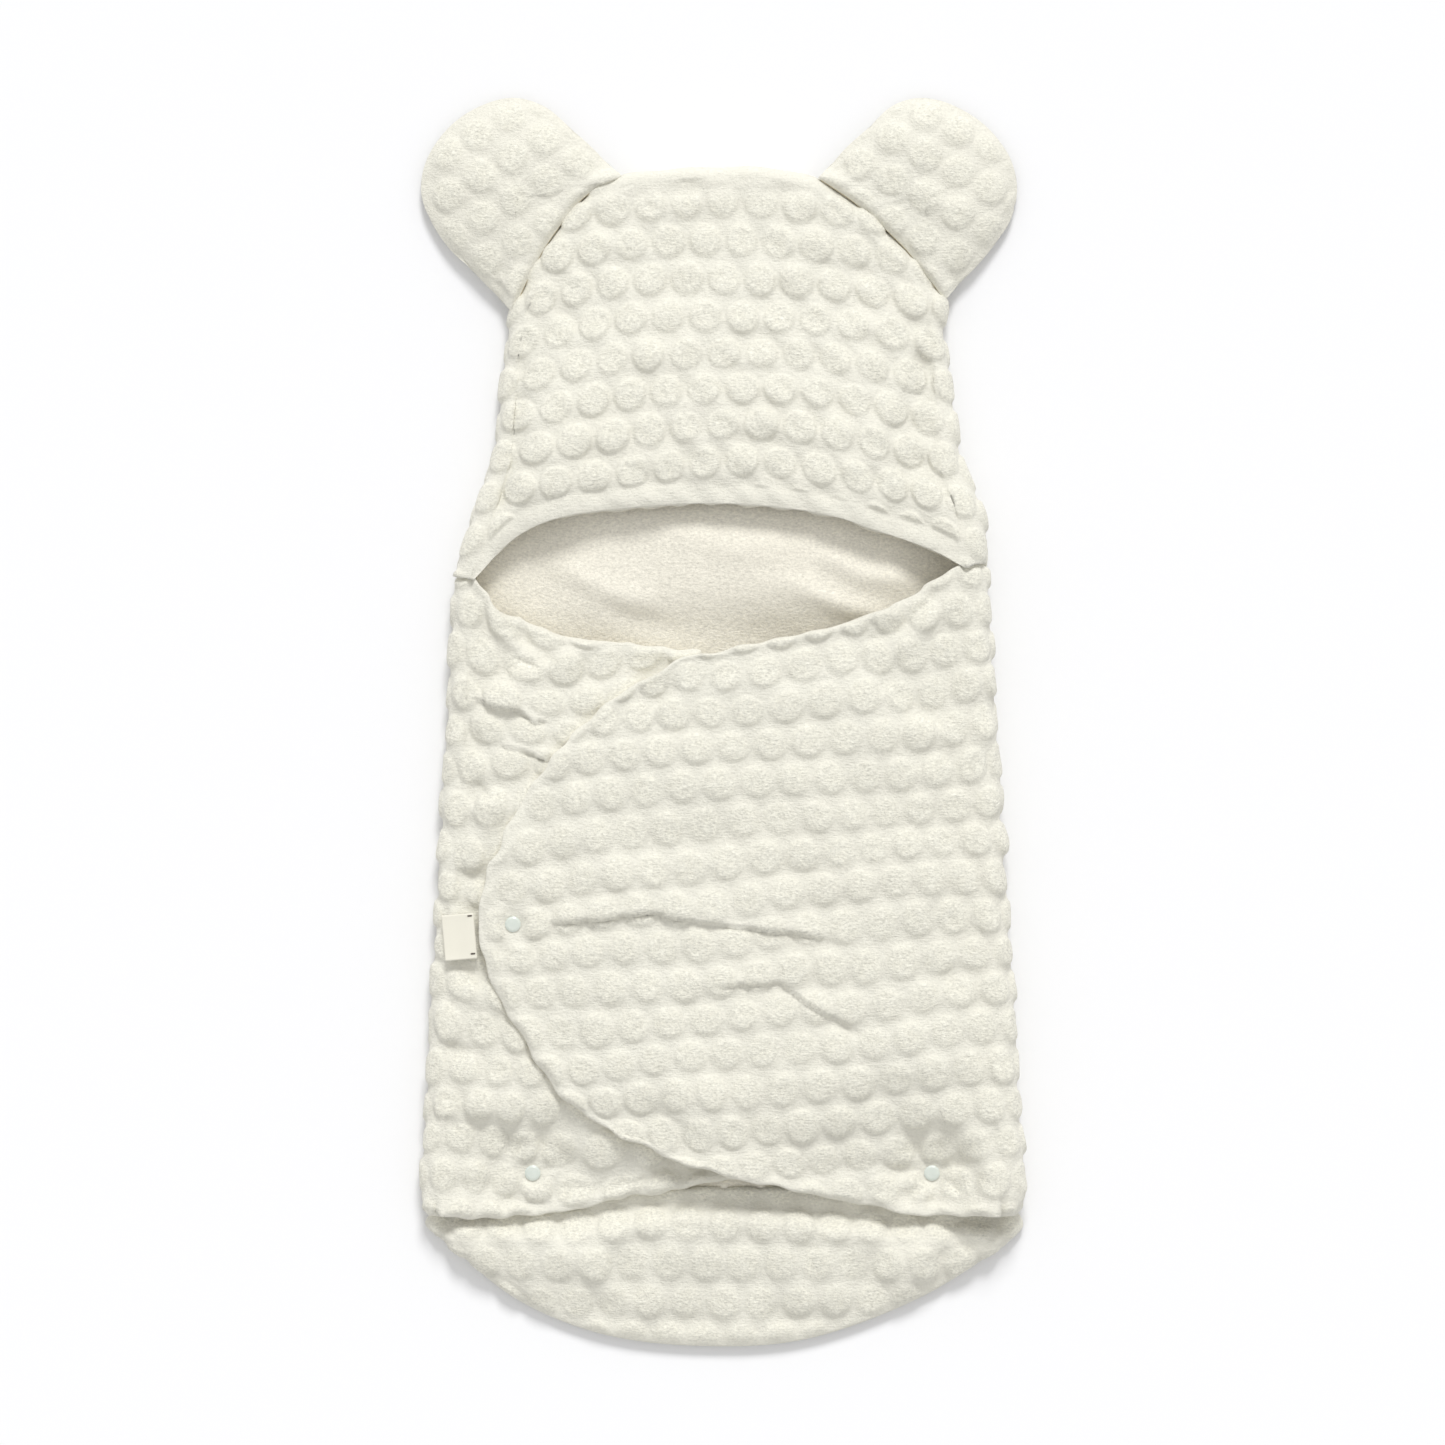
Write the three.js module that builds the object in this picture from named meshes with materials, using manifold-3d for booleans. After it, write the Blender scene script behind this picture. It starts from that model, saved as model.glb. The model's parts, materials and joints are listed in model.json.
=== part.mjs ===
// Hooded baby wrap with ears: a padded back, a hood, two wings that close over the front and a tail.
// Millimetres. +Z is up, out of the front. +Y runs towards the hood. +X is the outer wing's side.
import * as THREE from 'three';
import Module from 'manifold-3d';
import { mergeVertices } from 'three/addons/utils/BufferGeometryUtils.js';

// ---- overall sizes ----
const LENGTH = 851;
const WIDTH = 413;
const DRAWN_LENGTH = 851;
const DRAWN_WIDTH = 413;

// ---- fabric plies: plush shell, wadding, lining ----
const SHELL_PLY = 2.6;
const WADDING_PLY = 2.8;
const LINING_PLY = 2.4;
const PLY_GAP = 0.3;
const PANEL = SHELL_PLY + WADDING_PLY + LINING_PLY + 2 * PLY_GAP;
const EDGE_SHARE = 0.55;
const EDGE_BAND = 11;
const SEAM_GAP = 0.8;

// ---- heights of the closed wrap ----
const POCKET = 9;
const WING_GAP = 2.2;
const INNER_TOP = PANEL + POCKET + PANEL;
const OUTER_TOP = INNER_TOP + WING_GAP + PANEL;
const HOOD_TOP = 38;
const CROWN_ROLL = 9.4;
const INNER_ROLL = INNER_TOP / 2;
const OUTER_ROLL = OUTER_TOP / 2;

// ---- rolled side folds ----
const ROLL_START = -132;
const ROLL_END = 90;
const ROLL_STEPS = 6;
const ROLL_REACH = 0.83;

// ---- wing and foot lines ----
const WING_TOP = 108;
const WING_FOOT = -336;
const BACK_FOOT = -341.6;
const BACK_STEPS = [0.03, 0.1, 0.2, 0.4, 0.6, 0.8, 1];
const TAIL_TOP = -342.6;
const OUTER_SIDE = [[178.5, WING_TOP], [206, WING_FOOT]];
const INNER_SIDE = [[-182.5, 100], [-206.5, WING_FOOT]];

// ---- outline points, drawn for DRAWN_WIDTH by DRAWN_LENGTH ----
const OUTER_NECK = [[149, 101], [124, 84], [82, 68], [40, 58], [-1, 49], [-27, 43]];
const OUTER_EDGE = [
  [-27, 43], [-73, 18], [-116, -24], [-148, -74], [-166, -122],
  [-161, -166], [-143, -205], [-113, -250], [-70, -283],
];
const OUTER_HEM = [[162, -336], [133, -335], [96, -328], [44, -318], [-12, -305], [-70, -283]];
const INNER_NECK = [[-158, 82], [-142, 72], [-99, 58], [-42, 52], [-15, 49]];
const INNER_EDGE = [[-15, 49], [-4, -40], [3, -130], [8, -230], [12, -311]];
const INNER_HEM = [[-180, -338], [-149, -338], [-91, -330], [-41, -319], [12, -311]];
const HOOD_LEFT = [[-171, 138], [-156, 184], [-151, 225], [-144, 279]];
const EAR_SEAM_LEFT = [[-144, 279], [-128, 312], [-112, 337], [-92, 360], [-69, 372]];
const CROWN_LINE = [[-69, 372], [-25, 378], [25, 378], [64, 371]];
const EAR_SEAM_RIGHT = [[64, 371], [89, 354], [124, 322], [139, 303], [151, 288]];
const HOOD_RIGHT = [[151, 288], [150, 265], [156, 219], [163, 176], [176, 142]];
const HOOD_LIP = [[-142, 125], [-114, 138], [-56, 146], [2, 148], [68, 141], [110, 128], [142, 117]];
const TAIL_CURVE = [
  [-185, -357], [-142, -393], [-84, -417], [-15, -425.5], [55, -421], [133, -393], [190, -358],
];
const TAIL_LEFT = -200;
const TAIL_RIGHT = 204;
const TAIL_DEPTH = 80;
const EAR_RIM_LEFT = [
  [-88, 390], [-104, 404], [-123, 420], [-146, 425.5], [-178, 413], [-200, 388],
  [-206, 364], [-200, 344], [-188, 325], [-168, 305],
];
const EAR_RIM_RIGHT = [
  [168, 306], [184, 325], [196, 344], [200, 364], [194, 387], [172, 412],
  [139, 425.5], [117, 421], [98, 404], [82, 390],
];
const EAR_CENTRE_LEFT = [-142, 356];
const EAR_CENTRE_RIGHT = [137, 358];

// ---- hood shape ----
const HOOD_SEAM_LENGTH = 900;
const HOOD_CORNER = 3;
// Each hood corner stands this far from the neck of the side fold below it, at any length.
const HOOD_STEP = [1.5, 5];
const HOOD_RISE = 1.25;
const HOOD_CORNER_RISE = 4;
const HEM_ROUNDNESS = 1.7;

// ---- ears ----
const EAR_TOP = 25;
const EAR_RIM_HEIGHT = 7;
const EAR_RINGS = [1, 0.92, 0.74, 0.42];
const EAR_CORE_SHARE = 0.95;
const EAR_ROOT_POINTS = 9;
const EAR_RIM_POINTS = 22;
const EAR_SEAM_GAP = 1.7;
const EAR_TOP_POWER = 2.6;
const EAR_BASE_POWER = 5;

// ---- snap fasteners ----
const SNAP_SEAT = 7;
const DRAWN_PANEL = 8.4;
const SNAP_RAMP = 16 + 4 * (PANEL - DRAWN_PANEL);
const SNAP_FABRIC = 4.2;
const SNAP_CAP_RADIUS = 5.4;
const SNAP_CAP_RIM = 0.6;
const SNAP_CAP_DOME = 1.4;
const SNAP_PIN_RADIUS = 1.1;
const SNAP_HOLE_RADIUS = 1.45;
const SNAP_OFFSET = 0.2;
const SOCKET_RADIUS = 5;
const SOCKET_HEIGHT = 2.6;
const SOCKET_FLOOR = 0.6;
const SOCKET_BORE = 2.8;
const STUD_RADIUS = 4.8;
const STUD_BASE = 0.8;
const STUD_KNOB = 2.35;
const STUD_TIP = 2;
const STUD_HEIGHT = 2.5;
const SNAP_SIDES = 14;
const SNAP_REACH = SOCKET_HEIGHT + STUD_BASE + 3 * SNAP_OFFSET;
const DIP_FLAT = 10.5;
const TIP_SNAP = [-143, -137];
const FOOT_SNAP_LEFT = [-130, -307];
const FOOT_SNAP_RIGHT = [142, -307];
const TIP_SNAP_DIP = 30;
const FOOT_DIP_LEFT = 40;
const FOOT_DIP_RIGHT = 41;
const TIP_SNAP_LEVEL = (INNER_TOP + OUTER_TOP - PANEL) / 2;
const FOOT_SNAP_LEVEL = SNAP_OFFSET + SNAP_CAP_DOME + SNAP_OFFSET + SNAP_FABRIC + SNAP_REACH / 2;

// ---- folded label, in the edge of the outer wing ----
const LABEL_ROOT = [-168.3, -144];
const LABEL_WIDTH = 31;
const LABEL_REACH = 21;
const LABEL_PLY = 0.55;
const LABEL_FOLD = 0.75;
const LABEL_LIFT = 2.1;
const LABEL_TURN = 5;
const LABEL_STEPS = 5;
const STITCH_LENGTH = 3;
const STITCH_WIDTH = 1;
const STITCH_HEIGHT = 0.5;
const STITCH_INSET = 2.6;

// ---- colours ----
const IVORY = 0xf0eee6;
const CREAM = 0xe8e2d2;
const WADDING_WHITE = 0xf6f6f2;
const SNAP_GREY = 0xdde2dc;
const LABEL_CREAM = 0xf3f1e4;
const STITCH_BROWN = 0x55483c;

// ---- how a point is looked up in a patch ----
const LOCATE_STEPS = 40;
const LOCATE_PACE = 0.7;

const wasm = await Module();
wasm.setup();
const group = new THREE.Group();

function material(colour, roughness) {
  return new THREE.MeshStandardMaterial({ color: colour, roughness, metalness: 0 });
}

function add(name, geometry, colour, roughness) {
  const mesh = new THREE.Mesh(geometry, material(colour, roughness));
  mesh.name = name;
  group.add(mesh);
}

// ---- plane curves ----
function drawn([x, y]) {
  return new THREE.Vector2((x * WIDTH) / DRAWN_WIDTH, (y * LENGTH) / DRAWN_LENGTH);
}

function spline(points) {
  const bends = points.map((p) => new THREE.Vector3(p.x, p.y, 0));
  const curve = new THREE.CatmullRomCurve3(bends, false, 'centripetal');
  return (t) => {
    const p = curve.getPointAt(Math.min(Math.max(t, 0), 1));
    return new THREE.Vector2(p.x, p.y);
  };
}

function straight(a, b) {
  return (t) => a.clone().lerp(b, t);
}

function smooth(t) {
  const c = Math.min(Math.max(t, 0), 1);
  return c * c * (3 - 2 * c);
}

// A patch between four curves: neck and hem run from side to edge, side and edge from neck to hem.
function coons(neck, hem, side, edge) {
  return (u, v) => {
    const p = neck(u).multiplyScalar(1 - v).add(hem(u).multiplyScalar(v));
    p.add(side(v).multiplyScalar(1 - u)).add(edge(v).multiplyScalar(u));
    p.sub(neck(0).multiplyScalar((1 - u) * (1 - v))).sub(neck(1).multiplyScalar(u * (1 - v)));
    return p.sub(hem(0).multiplyScalar((1 - u) * v)).sub(hem(1).multiplyScalar(u * v));
  };
}

// Where a point of the plan lies in a patch, and how many millimetres one unit of u and of v cover there.
function locate(patch, target) {
  let u = 0.5;
  let v = 0.5;
  const step = 1e-4;
  for (let n = 0; n < LOCATE_STEPS; n += 1) {
    const here = patch(u, v);
    const du = patch(u + step, v).sub(here).divideScalar(step);
    const dv = patch(u, v + step).sub(here).divideScalar(step);
    const off = target.clone().sub(here);
    const det = du.x * dv.y - du.y * dv.x;
    u += (LOCATE_PACE * (off.x * dv.y - off.y * dv.x)) / det;
    v += (LOCATE_PACE * (du.x * off.y - du.y * off.x)) / det;
    u = Math.min(Math.max(u, 0.01), 0.99);
    v = Math.min(Math.max(v, 0.01), 0.99);
  }
  const here = patch(u, v);
  const mmU = patch(u + step, v).sub(here).length() / step;
  const mmV = patch(u, v + step).sub(here).length() / step;
  return { u, v, mmU, mmV };
}

// Grid lines from 0 to 1: even ones, finer ones at the free edges and four at each snap.
function gridLines(count, length, startFree, endFree, snaps) {
  const kept = [];
  for (const { at, mm } of snaps) {
    for (const off of [-SNAP_RAMP, -SNAP_SEAT, SNAP_SEAT, SNAP_RAMP]) {
      kept.push(at + off / mm);
    }
  }
  kept.push(0, 1);
  const near = EDGE_BAND / length;
  if (startFree) kept.push(near * 0.35, near);
  if (endFree) kept.push(1 - near * 0.35, 1 - near);
  for (let n = 1; n < count; n += 1) {
    const at = n / count;
    const clear = kept.every((k) => Math.abs(k - at) > 0.45 / count);
    if (clear) kept.push(at);
  }
  return kept.filter((k) => k >= 0 && k <= 1).sort((a, b) => a - b);
}

// ---- closed solids from two matching grids of points ----
function closedFromGrids(top, base) {
  const rows = top.length;
  const cols = top[0].length;
  const points = [];
  const tri = [];
  for (const grid of [top, base]) {
    for (const row of grid) {
      for (const p of row) points.push(p.x, p.y, p.z);
    }
  }
  const upper = (i, j) => i * cols + j;
  const lower = (i, j) => rows * cols + i * cols + j;
  const quad = (a, b, c, d) => tri.push(a, b, c, a, c, d);
  for (let i = 0; i + 1 < rows; i += 1) {
    for (let j = 0; j + 1 < cols; j += 1) {
      quad(upper(i, j), upper(i + 1, j), upper(i + 1, j + 1), upper(i, j + 1));
      quad(lower(i, j), lower(i, j + 1), lower(i + 1, j + 1), lower(i + 1, j));
    }
    const last = cols - 1;
    quad(upper(i, 0), lower(i, 0), lower(i + 1, 0), upper(i + 1, 0));
    quad(upper(i, last), upper(i + 1, last), lower(i + 1, last), lower(i, last));
  }
  for (let j = 0; j + 1 < cols; j += 1) {
    const last = rows - 1;
    quad(upper(0, j), upper(0, j + 1), lower(0, j + 1), lower(0, j));
    quad(upper(last, j), lower(last, j), lower(last, j + 1), upper(last, j + 1));
  }
  return cleaned(points, tri);
}

// Points that coincide are joined, flat triangles dropped, and the solid turned outward.
function cleaned(points, tri) {
  const raw = new THREE.BufferGeometry();
  raw.setAttribute('position', new THREE.Float32BufferAttribute(points, 3));
  raw.setIndex(tri);
  const merged = mergeVertices(raw, 1e-3);
  const index = merged.index.array;
  const kept = [];
  for (let n = 0; n < index.length; n += 3) {
    const [a, b, c] = [index[n], index[n + 1], index[n + 2]];
    if (a !== b && b !== c && a !== c) kept.push(a, b, c);
  }
  merged.setIndex(kept);
  return outward(merged);
}

function outward(geometry) {
  const p = geometry.attributes.position;
  const index = geometry.index.array;
  const corner = [0, 1, 2].map(() => new THREE.Vector3());
  let volume = 0;
  for (let n = 0; n < index.length; n += 3) {
    corner.forEach((v, k) => v.fromBufferAttribute(p, index[n + k]));
    volume += corner[0].dot(corner[1].cross(corner[2]));
  }
  if (volume < 0) {
    const turned = Array.from(index);
    for (let n = 0; n < turned.length; n += 3) {
      [turned[n], turned[n + 1]] = [turned[n + 1], turned[n]];
    }
    geometry.setIndex(turned);
  }
  geometry.computeVertexNormals();
  return geometry;
}

function toManifold(geometry) {
  const bare = new THREE.BufferGeometry();
  bare.setAttribute('position', geometry.attributes.position.clone());
  bare.setIndex(Array.from(geometry.index.array));
  const welded = mergeVertices(bare, 1e-4);
  const mesh = new wasm.Mesh({
    numProp: 3,
    vertProperties: new Float32Array(welded.attributes.position.array),
    triVerts: new Uint32Array(welded.index.array),
  });
  return new wasm.Manifold(mesh);
}

function fromManifold(solid) {
  const mesh = solid.getMesh();
  const geometry = new THREE.BufferGeometry();
  geometry.setAttribute('position', new THREE.Float32BufferAttribute(mesh.vertProperties, 3));
  geometry.setIndex(Array.from(mesh.triVerts));
  geometry.computeVertexNormals();
  return geometry;
}

// Holes for the snap pins, straight down through a ply.
function pierced(geometry, spots) {
  if (spots.length === 0) return geometry;
  let solid = toManifold(geometry);
  for (const spot of spots) {
    const drill = new THREE.CylinderGeometry(
      SNAP_HOLE_RADIUS, SNAP_HOLE_RADIUS, 4 * OUTER_TOP, SNAP_SIDES,
    );
    drill.rotateX(Math.PI / 2);
    drill.translate(spot.x, spot.y, 0);
    drill.deleteAttribute('normal');
    drill.deleteAttribute('uv');
    solid = solid.subtract(toManifold(drill));
  }
  return fromManifold(solid);
}

// The three plies of a panel, as shares of its thickness from the shell's face inwards.
function plies(thickness) {
  const share = (thickness - 2 * PLY_GAP) / (PANEL - 2 * PLY_GAP);
  const shell = SHELL_PLY * share;
  const wadding = WADDING_PLY * share;
  return {
    shell: [0, shell],
    wadding: [shell + PLY_GAP, shell + PLY_GAP + wadding],
    lining: [shell + 2 * PLY_GAP + wadding, thickness],
  };
}

const PLY_COLOUR = { shell: IVORY, wadding: WADDING_WHITE, lining: CREAM };
const PLY_NODE = { shell: 'shell', wadding: 'wadding', lining: 'lining' };

// Adds a panel's plies. face(i, j) gives the face point, its outward direction and the thickness there.
function addPanel(name, rows, cols, face, spots, innerColour = CREAM) {
  for (const ply of Object.keys(PLY_NODE)) {
    const top = [];
    const base = [];
    for (let i = 0; i < rows; i += 1) {
      top.push([]);
      base.push([]);
      for (let j = 0; j < cols; j += 1) {
        const { point, out, thickness } = face(i, j);
        const inset = (PANEL - thickness) / 2;
        const [from, to] = plies(thickness)[ply];
        top[i].push(point.clone().addScaledVector(out, -inset - from));
        base[i].push(point.clone().addScaledVector(out, -inset - to));
      }
    }
    const solid = pierced(closedFromGrids(top, base), spots);
    const colour = ply === 'lining' ? innerColour : PLY_COLOUR[ply];
    add(`${name}_${PLY_NODE[ply]}`, solid, colour, 0.9);
  }
}

function edgeThickness(distance) {
  const share = EDGE_SHARE + (1 - EDGE_SHARE) * smooth(distance / EDGE_BAND);
  return PANEL * share;
}

// How far a snap pulls a panel's middle and squeezes its thickness, at one grid point.
function snapPull(snaps, u, v, plan, middle, thickness) {
  let height = middle;
  let thick = thickness;
  for (const snap of snaps) {
    const square = Math.max(Math.abs(u - snap.u) * snap.mmU, Math.abs(v - snap.v) * snap.mmV);
    const ramp = smooth((square - SNAP_SEAT) / (SNAP_RAMP - SNAP_SEAT));
    thick = Math.min(thick, SNAP_FABRIC + (PANEL - SNAP_FABRIC) * ramp);
    const away = plan.distanceTo(snap.spot) - DIP_FLAT;
    const fade = smooth(away / (snap.dip - DIP_FLAT));
    height += (snap.level - middle) * (1 - fade);
  }
  return { height, thick };
}

function rollAngles() {
  const angles = [];
  for (let n = 0; n <= ROLL_STEPS; n += 1) {
    angles.push(THREE.MathUtils.degToRad(ROLL_START + ((ROLL_END - ROLL_START) * n) / ROLL_STEPS));
  }
  return angles;
}

// ---- wings: a side fold rolled about the hinge line, then a flat leaf ----
function wing(name, side, neck, edge, hem, roll, flatTop, snapList) {
  const [neckEnd, footEnd] = side.map(drawn);
  const along = footEnd.clone().sub(neckEnd).normalize();
  const sign = Math.sign(neckEnd.x);
  const outDirection = new THREE.Vector2(-along.y, along.x).multiplyScalar(sign);
  const axisNeck = neckEnd.clone().addScaledVector(outDirection, -roll);
  const axisFoot = footEnd.clone().addScaledVector(outDirection, -roll);
  const sideLine = straight(axisNeck, axisFoot);
  const neckLine = spline([axisNeck, ...neck.map(drawn)]);
  const hemLine = spline([axisFoot, ...hem.map(drawn)]);
  const leaf = coons(neckLine, hemLine, sideLine, spline(edge.map(drawn)));
  const snaps = snapList.map((snap) => ({ ...snap, ...locate(leaf, snap.spot) }));
  const mmU = neckLine(1).distanceTo(neckLine(0));
  const mmV = axisNeck.distanceTo(axisFoot);
  const uLines = gridLines(6, mmU, false, true, snaps.map((s) => ({ at: s.u, mm: s.mmU })));
  const vLines = gridLines(7, mmV, true, true, snaps.map((s) => ({ at: s.v, mm: s.mmV })));
  const angles = rollAngles();
  const rolled = angles.length - 1;
  const up = new THREE.Vector3(0, 0, 1);
  const face = (i, j) => {
    const v = vLines[j];
    const ends = Math.min(v, 1 - v) * mmV;
    if (i < rolled) {
      const c = sideLine(v);
      const out = new THREE.Vector3(
        Math.cos(angles[i]) * outDirection.x,
        Math.cos(angles[i]) * outDirection.y,
        Math.sin(angles[i]),
      );
      const start = (i * roll * (angles[1] - angles[0]));
      const thickness = edgeThickness(Math.min(ends, start));
      return { point: new THREE.Vector3(c.x, c.y, roll).addScaledVector(out, roll), out, thickness };
    }
    const u = uLines[i - rolled];
    const plan = leaf(u, v);
    const free = Math.min(ends, (1 - u) * mmU);
    const middle = flatTop - PANEL / 2;
    const { height, thick } = snapPull(snaps, u, v, plan, middle, edgeThickness(free));
    const point = new THREE.Vector3(plan.x, plan.y, height + PANEL / 2);
    return { point, out: up, thickness: thick };
  };
  addPanel(name, rolled + uLines.length, vLines.length, face, snaps.map((s) => s.spot));
  return { axisNeck, axisFoot };
}

const tipSpot = drawn(TIP_SNAP);
const leftSpot = drawn(FOOT_SNAP_LEFT);
const rightSpot = drawn(FOOT_SNAP_RIGHT);
const halfPair = (SNAP_REACH + SNAP_FABRIC) / 2;

const outerAxis = wing('outer_wing', OUTER_SIDE, OUTER_NECK, OUTER_EDGE, OUTER_HEM, OUTER_ROLL, OUTER_TOP, [
  { spot: tipSpot, level: TIP_SNAP_LEVEL + halfPair, dip: TIP_SNAP_DIP },
  { spot: rightSpot, level: FOOT_SNAP_LEVEL + halfPair, dip: FOOT_DIP_RIGHT },
]);
const innerAxis = wing('inner_wing', INNER_SIDE, INNER_NECK, INNER_EDGE, INNER_HEM, INNER_ROLL, INNER_TOP, [
  { spot: tipSpot, level: TIP_SNAP_LEVEL - halfPair, dip: TIP_SNAP_DIP },
  { spot: leftSpot, level: FOOT_SNAP_LEVEL + halfPair, dip: FOOT_DIP_LEFT },
]);

// ---- hood: its outline is rolled under at the sides and crown, and a fan of rows reaches the lip ----
const hoodOutline = spline([
  drawn(INNER_SIDE[0]).add(new THREE.Vector2(...HOOD_STEP)),
  ...[...HOOD_LEFT, ...EAR_SEAM_LEFT.slice(1), ...CROWN_LINE.slice(1),
    ...EAR_SEAM_RIGHT.slice(1), ...HOOD_RIGHT.slice(1)].map(drawn),
  drawn(OUTER_SIDE[0]).add(new THREE.Vector2(...HOOD_STEP)),
]);
const HOOD_COLS = 26;
const HOOD_ROWS = [0.12, 0.32, 0.6, 1];
const HEM_WIDTH = 14;
const HOOD_SIDE_SHARE = 0.22;
const HEM_STEPS = 4;

function hoodRoll(t) {
  const lipRoll = t < 0.5 ? INNER_ROLL : OUTER_ROLL;
  const near = Math.min(t, 1 - t) / HOOD_SIDE_SHARE;
  return lipRoll + (CROWN_ROLL - lipRoll) * smooth(near);
}

function hoodInward(t) {
  const step = 2e-3;
  const d = hoodOutline(Math.min(t + step, 1)).sub(hoodOutline(Math.max(t - step, 0)));
  return new THREE.Vector2(d.y, -d.x).normalize();
}

function hoodInset(t, inset) {
  return hoodOutline(t).addScaledVector(hoodInward(t), inset);
}

const lipLine = spline([
  hoodInset(0, hoodRoll(0)), ...HOOD_LIP.map(drawn), hoodInset(1, hoodRoll(1)),
]);

// Where the padded plies stop short of the lip, for the rolled hem.
function lipShare(t, row) {
  const start = hoodInset(t, hoodRoll(t));
  const reach = start.distanceTo(lipLine(t));
  const stop = reach < 1e-6 ? 1 : Math.max(1 - (HEM_WIDTH + SEAM_GAP) / reach, 0);
  return row * stop;
}

const up = new THREE.Vector3(0, 0, 1);

function fanPoint(t, share) {
  const start = hoodInset(t, hoodRoll(t));
  const plan = start.clone().lerp(lipLine(t), share);
  const low = 2 * hoodRoll(t);
  const rise = smooth(share * HOOD_RISE) * smooth(HOOD_CORNER_RISE * Math.min(t, 1 - t));
  const height = low + (HOOD_TOP - low) * rise;
  return new THREE.Vector3(plan.x, plan.y, height);
}

const hoodT = (j) => j / HOOD_COLS;
{
  const angles = rollAngles();
  const rolled = angles.length;
  const face = (i, j) => {
    const t = hoodT(j);
    const ends = HOOD_CORNER + Math.min(t, 1 - t) * HOOD_SEAM_LENGTH;
    if (i < rolled) {
      const roll = hoodRoll(t);
      const inward = hoodInward(t);
      const cos = Math.cos(angles[i]);
      const out = new THREE.Vector3(-inward.x * cos, -inward.y * cos, Math.sin(angles[i]));
      const c = hoodInset(t, roll);
      const start = i * roll * (angles[1] - angles[0]);
      const thickness = edgeThickness(Math.min(ends, start));
      return { point: new THREE.Vector3(c.x, c.y, roll).addScaledVector(out, roll), out, thickness };
    }
    const point = fanPoint(t, lipShare(t, HOOD_ROWS[i - rolled]));
    return { point, out: up, thickness: edgeThickness(ends) };
  };
  addPanel('hood', rolled + HOOD_ROWS.length, HOOD_COLS + 1, face, []);
}

// ---- rolled hem along the lip of the hood ----
{
  const HEM_COLS = 20;
  const HEM_FROM = 0.07;
  const top = [];
  const base = [];
  const middle = PANEL / 2;
  for (let i = 0; i <= HEM_STEPS; i += 1) {
    top.push([]);
    base.push([]);
    for (let j = 0; j <= HEM_COLS; j += 1) {
      const t = HEM_FROM + ((1 - 2 * HEM_FROM) * j) / HEM_COLS;
      const reach = hoodInset(t, hoodRoll(t)).distanceTo(lipLine(t));
      const width = Math.min(HEM_WIDTH, reach * 0.5);
      const share = 1 - (width / reach) * (1 - i / HEM_STEPS);
      const p = fanPoint(t, share);
      const round = Math.sqrt(1 - (Math.abs(i / HEM_STEPS - 0.5) * HEM_ROUNDNESS) ** 2);
      const ends = smooth(Math.min(j, HEM_COLS - j) / 3) * 0.6 + 0.4;
      const half = middle * round * ends;
      top[i].push(new THREE.Vector3(p.x, p.y, p.z - middle + half));
      base[i].push(new THREE.Vector3(p.x, p.y, p.z - middle - half));
    }
  }
  add('hood_hem', closedFromGrids(top, base), IVORY, 0.9);
}

// ---- back panel, from the crown to the foot, between the rolled folds ----
const backInset = (t) => hoodInset(t, (1 + ROLL_REACH) * hoodRoll(t) + SEAM_GAP);
function besideFold(axis, y, roll) {
  const t = (y - axis.axisNeck.y) / (axis.axisFoot.y - axis.axisNeck.y);
  const p = axis.axisNeck.clone().lerp(axis.axisFoot, t);
  const inward = -Math.sign(p.x) * (ROLL_REACH * roll + 2 * SEAM_GAP);
  return new THREE.Vector2(p.x + inward, y);
}
{
  const foot = (BACK_FOOT * LENGTH) / DRAWN_LENGTH;
  const neck = (WING_TOP * LENGTH) / DRAWN_LENGTH;
  const corner = [0.23, 0.77];
  const leftSide = spline([
    backInset(corner[0]), backInset(0.15), backInset(0.08), backInset(0.03),
    ...BACK_STEPS.map((share) => besideFold(innerAxis, neck + (foot - neck) * share, INNER_ROLL)),
  ]);
  const rightSide = spline([
    backInset(corner[1]), backInset(0.85), backInset(0.92), backInset(0.97),
    ...BACK_STEPS.map((share) => besideFold(outerAxis, neck + (foot - neck) * share, OUTER_ROLL)),
  ]);
  const crownLine = (u) => backInset(corner[0] + (corner[1] - corner[0]) * u);
  const footLine = straight(leftSide(1), rightSide(1));
  const patch = coons(crownLine, footLine, leftSide, rightSide);
  const level = SNAP_OFFSET + SNAP_CAP_DOME + SNAP_OFFSET + SNAP_FABRIC / 2;
  const snaps = [leftSpot, rightSpot].map((spot) => (
    { spot, level, dip: DIP_FLAT + 6, ...locate(patch, spot) }
  ));
  const mmU = footLine(0).distanceTo(footLine(1));
  const mmV = leftSide(0).distanceTo(leftSide(1));
  const uLines = gridLines(5, mmU, true, true, snaps.map((s) => ({ at: s.u, mm: s.mmU })));
  const vLines = gridLines(10, mmV, true, true, [snaps[0]].map((s) => ({ at: s.v, mm: s.mmV })));
  const down = new THREE.Vector3(0, 0, -1);
  const face = (i, j) => {
    const u = uLines[i];
    const v = vLines[j];
    const plan = patch(u, v);
    const free = Math.min(Math.min(u, 1 - u) * mmU, Math.min(v, 1 - v) * mmV);
    const { height, thick } = snapPull(snaps, u, v, plan, PANEL / 2, edgeThickness(free));
    return { point: new THREE.Vector3(plan.x, plan.y, height - PANEL / 2), out: down, thickness: thick };
  };
  addPanel('back', uLines.length, vLines.length, face, [leftSpot, rightSpot]);
}

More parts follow.
